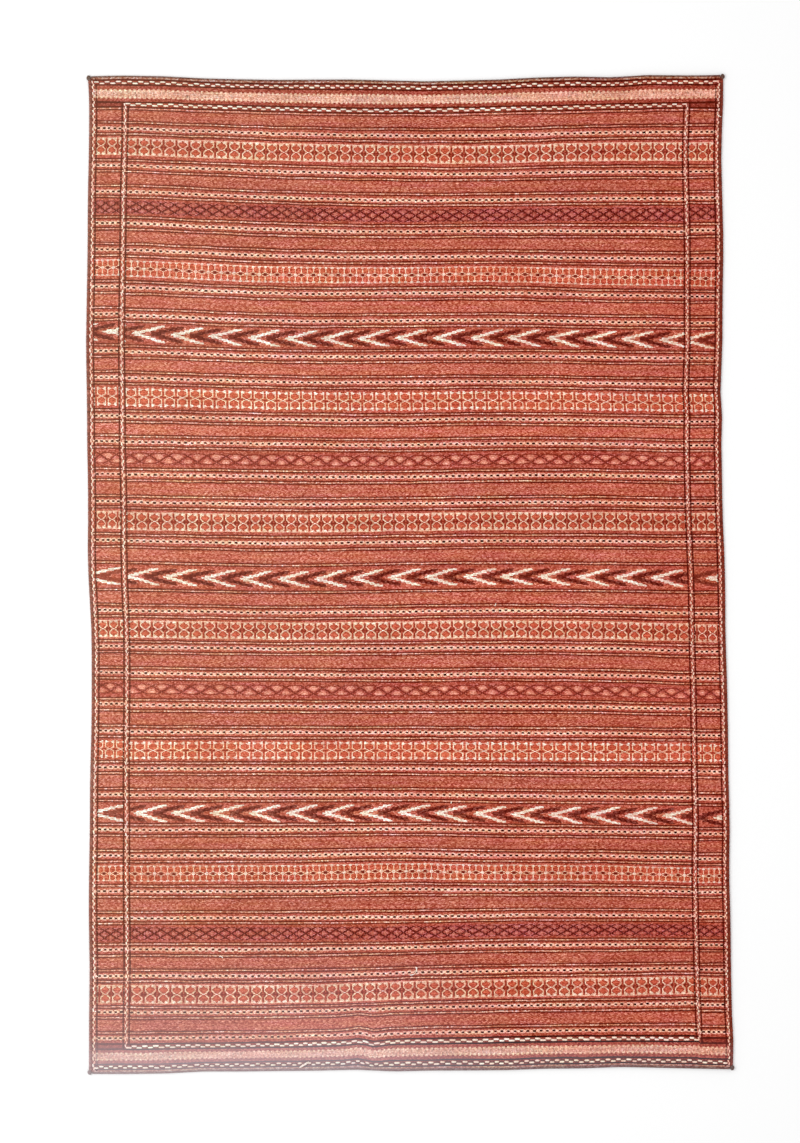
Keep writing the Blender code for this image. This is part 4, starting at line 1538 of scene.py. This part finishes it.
class KILIM_OT_frame_cords(KilimOperator, bpy.types.Operator):
    """Twine the light and dark yarns of the outer and inner frame"""

    bl_idname = "kilim.frame_cords"
    bl_label = "Frame cords"

    def execute(self, context):
        sizes, colours = context.scene.kilim_sizes, context.scene.kilim_colours
        ends = Stitches(71)
        for end, from_foot in ENDS:
            self.end_cord(ends, sizes, colours, end, end.outer_rows, from_foot, OUTER_SIDE_CORD - 1.5 * MM)
            self.end_cord(ends, sizes, colours, end, end.inner_rows, from_foot, INNER_SIDE_CORD)
        work("end_cords", ends, "plump", 71, "twined_wool")
        sides = Stitches(73)
        outer = (10 * MM, LENGTH - 8 * MM)
        inner = (TOP_FRAME.inner_rows[0] * MM, LENGTH - BOTTOM_FRAME.inner_rows[0] * MM)
        for sign in (-1, 1):
            self.side_cord(sides, sizes, colours, sign * OUTER_SIDE_CORD, outer, 660 + sign)
            self.side_cord(sides, sizes, colours, sign * INNER_SIDE_CORD, inner, 670 + sign)
        work("side_cords", sides, "plump", 73, "twined_wool")
        return {"FINISHED"}

    def places(self, stitches, start, end, pitch, seed):
        """Places of dashes from start to end, whose pitch wanders as the hand does."""
        count = int((end - start) / pitch)
        steps = 1 + 0.12 * ripple(seed, np.arange(count), 6.0)
        places = start + np.cumsum(steps) * (end - start) / steps.sum() - pitch / 2
        return places + stitches.random.normal(0, DASH_SHAKE, count)

    def end_cord(self, stitches, sizes, colours, end, rows, from_foot, reach):
        """Light dashes, up and down in turn in two rows, with dark ones between them."""
        half_pitch = sizes.twine_pitch / 2
        outer = rows is end.outer_rows
        places = self.places(stitches, -reach, reach, half_pitch, 600 + int(rows[0]))
        gaps = np.diff(places, append=places[-1] + half_pitch)
        low = np.arange(len(places)) % 2 == 1
        near, far = (from_top(row, from_foot) for row in rows)
        v_light, v_dark = np.where(low, far, near), np.where(low, near, far)
        share = drifting(400 + int(rows[0]), places, 160 * MM)
        between = mixed(colours.twine_ground, colours.grey_purple if from_foot else colours.strip, share)
        between = between * (0.5 if from_foot and outer else 1.0)
        tall = FOOT_DASH if from_foot else TOP_DASH
        for k, place in enumerate(places):
            long = gaps[k] * (1.0 if outer else 1.15)
            light = mixed(colours.white, colours.pink, stitches.random.uniform(0.0, 0.45))
            stitches.add(place, v_light[k], (long, tall, sizes.twine_rise), END_LEAN, light, 0.04)
            dark = (gaps[k] * 0.85, END_DARK_DASH, sizes.twine_rise * DARK_DASH_RISE)
            stitches.add(place, v_dark[k], dark, END_LEAN, between[k], 0.1)
        if outer:
            return
        for row, tall in ((end.band_dark + 0.6, 5.0), (end.inner_dark - 1.0, 3.6)):
            v = from_top(row, from_foot)
            for sign in (-1, 1):
                run = sign * np.arange(CORD_OUTSIDE + 3.0 * MM, PANEL_INSIDE, END_EDGE_PITCH)
                size = (END_EDGE_LENGTH, tall * MM, sizes.stitch_rise)
                stitches.add(run, v, size, 0.0, colours.edge_line, 0.15)

    def side_cord(self, stitches, sizes, colours, u, span, seed):
        """Light dashes, left and right in turn in two columns, with a dark line each side."""
        half_pitch = sizes.side_twine_pitch / 2
        places = self.places(stitches, span[0], span[1], half_pitch, seed)
        gaps = np.diff(places, append=places[-1] + half_pitch)
        side = np.where(np.arange(len(places)) % 2 == 1, 1.0, -1.0)
        share = drifting(430 + seed, places, 120 * MM)
        between = mixed(colours.twine_ground, colours.grey_purple, share)
        rise = sizes.twine_rise
        worn, fullness, deep = (0.5, 1.2, 0.0) if u < 0 else (0.45, 1.0, 0.6)
        for k, place in enumerate(places):
            light = mixed(colours.white, colours.pink, worn + stitches.random.uniform(-0.25, 0.45))
            slant = math.pi / 2 - side[k] * SIDE_LEAN
            size = (gaps[k] * fullness, SIDE_DASH, rise)
            stitches.add(u + side[k] * SIDE_CORD_OFFSET, place, size, slant, light, 0.06)
            size = (gaps[k] * 0.9, SIDE_DARK_DASH, rise * DARK_DASH_RISE)
            stitches.add(u - side[k] * SIDE_CORD_OFFSET, place, size, slant, between[k], 0.12)
        edge_run = np.arange(span[0] - 2 * MM, span[1] + 2 * MM, SIDE_EDGE_PITCH)
        size = (SIDE_EDGE_LENGTH, SIDE_EDGE_WIDTH, sizes.stitch_rise)
        line = mixed(colours.edge_line, colours.maroon, deep)
        for sign in (-1, 1):
            if abs(u + sign * SIDE_CORD_EDGE) < SHEET_EDGE - 2 * MM:
                stitches.add(u + sign * SIDE_CORD_EDGE, edge_run, size, math.pi / 2, line, 0.15)


# Height of a turn of the overcasting, and how far it leans, in radians
WRAP_HEIGHT = 4.6 * MM
WRAP_LEAN = 0.16


class KILIM_OT_selvedges(KilimOperator, bpy.types.Operator):
    """Wrap the overcast cord along each side"""

    bl_idname = "kilim.selvedges"
    bl_label = "Selvedges"

    def execute(self, context):
        sizes, colours = context.scene.kilim_sizes, context.scene.kilim_colours
        for side, sign in (("left", -1), ("right", 1)):
            stitches = Stitches(81 + sign)
            v = np.arange(4 * MM, LENGTH - 4 * MM, sizes.wrap_pitch)
            v = v + stitches.random.normal(0, WRAP_SHAKE, len(v))
            share = drifting(450 + sign, v, 90 * MM)
            colour = mixed(getattr(colours, "overcast_" + side), colours.faint, 0.4 * share)
            middle = sign * (HALF_WIDTH - SELVEDGE_WIDTH / 2)
            size = (SELVEDGE_WIDTH * 1.06, sizes.wrap_pitch, WRAP_HEIGHT)
            stitches.add(middle, v, size, sign * WRAP_LEAN, colour, 0.14)
            work(
                "selvedge_wraps_" + side, stitches, "wrap", 83 + sign, "wound_wool",
                "selvedge_" + side, on_floor=True, uneven_turn=0.05, uneven_size=0.03,
            )
        return {"FINISHED"}


# Turns of a corner knot and steps of each, the steps of its crosswise turns and of its tail
KNOT_TURNS = 7
TURN_STEPS = 12
CROSS_TURNS = 2.6
CROSS_STEPS = 36
TAIL_STEPS = 8
KNOT_YARN = 1.25 * MM
KNOT_TAIL = 9.0 * MM


def yarn_tube(bm, path, radius, sides=6):
    """Closed round yarn along a path, tapered at both ends."""
    path, rings = list(path), []
    for i, point in enumerate(path):
        before, after = path[max(i - 1, 0)], path[min(i + 1, len(path) - 1)]
        ahead = (Vector(after) - Vector(before)).normalized()
        side = ahead.orthogonal().normalized() if i == 0 else (side - ahead * side.dot(ahead)).normalized()
        up = ahead.cross(side)
        thin = radius * min(1.0, 0.45 + 0.3 * min(i, len(path) - 1 - i))
        turns = [2 * math.pi * k / sides for k in range(sides)]
        places = [Vector(point) + (side * math.cos(t) + up * math.sin(t)) * thin for t in turns]
        rings.append([bm.verts.new(place) for place in places])
    for ring, following in zip(rings, rings[1:]):
        for k in range(sides):
            m = (k + 1) % sides
            bm.faces.new((ring[k], ring[m], following[m], following[k]))
    bm.faces.new(rings[0][::-1])
    bm.faces.new(rings[-1])


def yarn_piece(name, bm, colour, finish, node=None):
    """Turn yarn tubes into a piece of one dye."""
    mesh = closed_mesh(name, bm)
    count = len(mesh.vertices)
    shade = np.array(colour) * np.random.default_rng(count).normal(1, 0.12, (count, 1))
    fill(mesh.attributes.new("yarn", "FLOAT_COLOR", "POINT").data, "color", opaque(shade))
    mesh.materials.append(finish_of(finish))
    finished(name, mesh, node)


class KILIM_OT_knots(KilimOperator, bpy.types.Operator):
    """Wind the knots that finish the overcasting at the corners"""

    bl_idname = "kilim.knots"
    bl_label = "Corner knots"

    def execute(self, context):
        colours = context.scene.kilim_colours
        for side, side_sign in (("left", -1), ("right", 1)):
            for end, end_sign in (("top", 1), ("bottom", -1)):
                node = "knot_" + end + "_" + side
                low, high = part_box(node)
                middle, half = (low + high) / 2, (high - low) / 2
                bm = bmesh.new()
                yarn_tube(bm, self.winding(middle, half), KNOT_YARN)
                yarn_tube(bm, self.second_winding(middle, half), KNOT_YARN)
                yarn_tube(bm, self.tail(middle, half, side_sign, end_sign), KNOT_YARN * 0.7)
                yarn_piece("corner_" + node, bm, colours.knot, "wound_wool", node)
        return {"FINISHED"}

    def winding(self, middle, half):
        """Yarn wound along the knot from end to end."""
        steps = KNOT_TURNS * TURN_STEPS
        for i in range(steps + 1):
            polar = math.pi * (0.06 + 0.88 * i / steps)
            around = 2 * math.pi * KNOT_TURNS * i / steps
            reach = math.sin(polar)
            yield middle + Vector((
                (half.x - KNOT_YARN) * reach * math.cos(around),
                (half.y - KNOT_YARN) * math.cos(polar),
                (half.z - KNOT_YARN) * reach * math.sin(around),
            ))

    def second_winding(self, middle, half):
        """A last few turns laid crosswise over the first."""
        half_steps = CROSS_STEPS // 2
        for i in range(CROSS_STEPS + 1):
            around = 2 * math.pi * CROSS_TURNS * i / CROSS_STEPS
            lean = 0.55 * math.sin(around * 0.5)
            along = 0.5 * math.sin(around) * lean + 0.12 * (i - half_steps) / half_steps
            yield middle + Vector((
                (half.x - KNOT_YARN * 0.6) * math.sin(around) * 0.95,
                (half.y - KNOT_YARN * 0.6) * along,
                (half.z - KNOT_YARN * 0.7) * math.cos(around),
            ))

    def tail(self, middle, half, side_sign, end_sign):
        """Short loose end of the knot, lying on the rug."""
        for i in range(TAIL_STEPS + 1):
            t = i / TAIL_STEPS
            yield middle + Vector((
                -side_sign * (half.x * 0.3 + KNOT_TAIL * t * 0.8),
                end_sign * (0.6 * MM + 1.2 * MM * math.sin(3 * t)) - end_sign * 2.0 * MM * t,
                half.z * 0.6 - 0.8 * MM * t,
            ))


THREAD_STEPS = 12

# Loose threads in millimetres of the weave: where each starts, its heading in degrees, its
# length, how many degrees it curls, and its radius.
Thread = namedtuple("Thread", "u v heading length curl radius")
THREADS = (
    Thread(-4.0, 1751.0, -5.0, 25.0, 125.0, 0.9),
    Thread(7.0, 1737.0, 0.0, 4.0, 0.0, 1.3),
    Thread(167.0, 1030.0, 20.0, 6.0, 90.0, 1.0),
    Thread(78.0, 1414.0, 70.0, 6.0, 40.0, 0.9),
    Thread(-372.0, 1713.0, 100.0, 9.0, 120.0, 0.8),
    Thread(-221.0, 1931.0, 32.0, 22.0, 0.0, 2.0),
    Thread(611.0, 74.0, 300.0, 10.0, 60.0, 0.7),
)


class KILIM_OT_threads(KilimOperator, bpy.types.Operator):
    """Drop the few loose threads and specks of lint that lie on the rug"""

    bl_idname = "kilim.threads"
    bl_label = "Loose threads"

    def execute(self, context):
        sizes, colours = context.scene.kilim_sizes, context.scene.kilim_colours
        bm = bmesh.new()
        for thread in THREADS:
            u, v, heading = thread.u * MM, thread.v * MM, math.radians(thread.heading)
            places = []
            for _ in range(THREAD_STEPS + 1):
                places.append((u, v))
                u += math.cos(heading) * thread.length * MM / THREAD_STEPS
                v -= math.sin(heading) * thread.length * MM / THREAD_STEPS
                heading += math.radians(thread.curl) / THREAD_STEPS
            places = np.array(places)
            up = sizes.stitch_rise + thread.radius * MM
            yarn_tube(bm, lay(places[:, 0], places[:, 1], up).tolist(), thread.radius * MM)
        yarn_piece("loose_threads", bm, colours.lint, "stitch_wool")
        return {"FINISHED"}


class KILIM_OT_stage(KilimOperator, bpy.types.Operator):
    """Set the pale floor, the soft light and the camera straight above the rug"""

    bl_idname = "kilim.stage"
    bl_label = "Stage"

    def execute(self, context):
        stage = context.scene.kilim_stage
        self.floor(stage)
        self.light(stage)
        self.camera(stage)
        return {"FINISHED"}

    def floor(self, stage):
        """Plain pale floor just under the rug."""
        half = stage.floor_size / 2
        mesh = bpy.data.meshes.new("floor")
        corners = [(-half, -half, 0.0), (half, -half, 0.0), (half, half, 0.0), (-half, half, 0.0)]
        mesh.from_pydata(corners, [], [(0, 1, 2, 3)])
        made = bpy.data.materials.new("pale_floor")
        made.use_nodes = True
        inputs = made.node_tree.nodes["Principled BSDF"].inputs
        inputs["Base Color"].default_value = (*stage.floor_colour, 1.0)
        inputs["Roughness"].default_value = 0.9
        inputs["Specular IOR Level"].default_value = 0.1
        mesh.materials.append(made)
        floor = linked("floor", mesh)
        floor.location.z = -FLOOR_DROP

    def light(self, stage):
        """Even light from all round, and one large soft lamp."""
        world = bpy.data.worlds.new("studio")
        world.use_nodes = True
        inputs = world.node_tree.nodes["Background"].inputs
        inputs["Color"].default_value = WHITE
        inputs["Strength"].default_value = stage.sky
        bpy.context.scene.world = world
        lamp = bpy.data.lights.new("soft_lamp", "AREA")
        lamp.shape = "SQUARE"
        lamp.size = stage.lamp_size
        lamp.energy = stage.lamp
        holder = linked("soft_lamp", lamp)
        holder.location = LAMP_PLACE
        holder.rotation_euler = (-Vector(LAMP_PLACE)).to_track_quat("-Z", "Y").to_euler()
        bpy.context.scene.view_settings.view_transform = "Standard"

    def camera(self, stage):
        """Camera straight above, whose long side shows the view height."""
        data = bpy.data.cameras.new("camera")
        data.lens = data.sensor_width * stage.distance / stage.view_height
        camera = linked("camera", data)
        camera.location = (stage.view_x, stage.view_y, stage.distance)
        bpy.context.scene.camera = camera


class KILIM_PT_panel(bpy.types.Panel):
    """Lists the rug's makers in the sidebar"""

    bl_idname = "KILIM_PT_panel"
    bl_label = "Kilim Rug"
    bl_space_type = "VIEW_3D"
    bl_region_type = "UI"
    bl_category = "Kilim Rug"

    def draw(self, context):
        layout = self.layout
        for operator in OPERATORS:
            layout.operator(operator.bl_idname)
        for place, group in GROUPS.items():
            box = layout.box()
            for name in group.__annotations__:
                box.prop(getattr(context.scene, place), name)


OPERATORS = (
    KILIM_OT_cloth,
    KILIM_OT_dots,
    KILIM_OT_flecks,
    KILIM_OT_figures,
    KILIM_OT_arrows,
    KILIM_OT_toothed_bands,
    KILIM_OT_frame_cords,
    KILIM_OT_selvedges,
    KILIM_OT_knots,
    KILIM_OT_threads,
    KILIM_OT_stage,
)
GROUPS = {"kilim_sizes": KilimSizes, "kilim_colours": KilimColours, "kilim_stage": KilimStage}
CLASSES = (*GROUPS.values(), *OPERATORS, KILIM_PT_panel)


def register():
    for cls in CLASSES:
        bpy.utils.register_class(cls)
    for place, group in GROUPS.items():
        setattr(bpy.types.Scene, place, bpy.props.PointerProperty(type=group))


def unregister():
    for place in GROUPS:
        delattr(bpy.types.Scene, place)
    for cls in reversed(CLASSES):
        bpy.utils.unregister_class(cls)


def declare_sheet():
    """List the pieces that are worked on the sheet; the list is not used further."""
    worked = ["dot_rows", "dots", "flecks", *(piece.name for piece in FIGURE_PIECES)]
    worked += ["arrow_figures", "toothed_bands", "end_cords", "side_cords"]


def main():
    """Make the whole rug."""
    register()
    for operator in OPERATORS:
        getattr(bpy.ops.kilim, operator.bl_idname.split(".")[1])()
    declare_sheet()


if __name__ == "__main__":
    main()
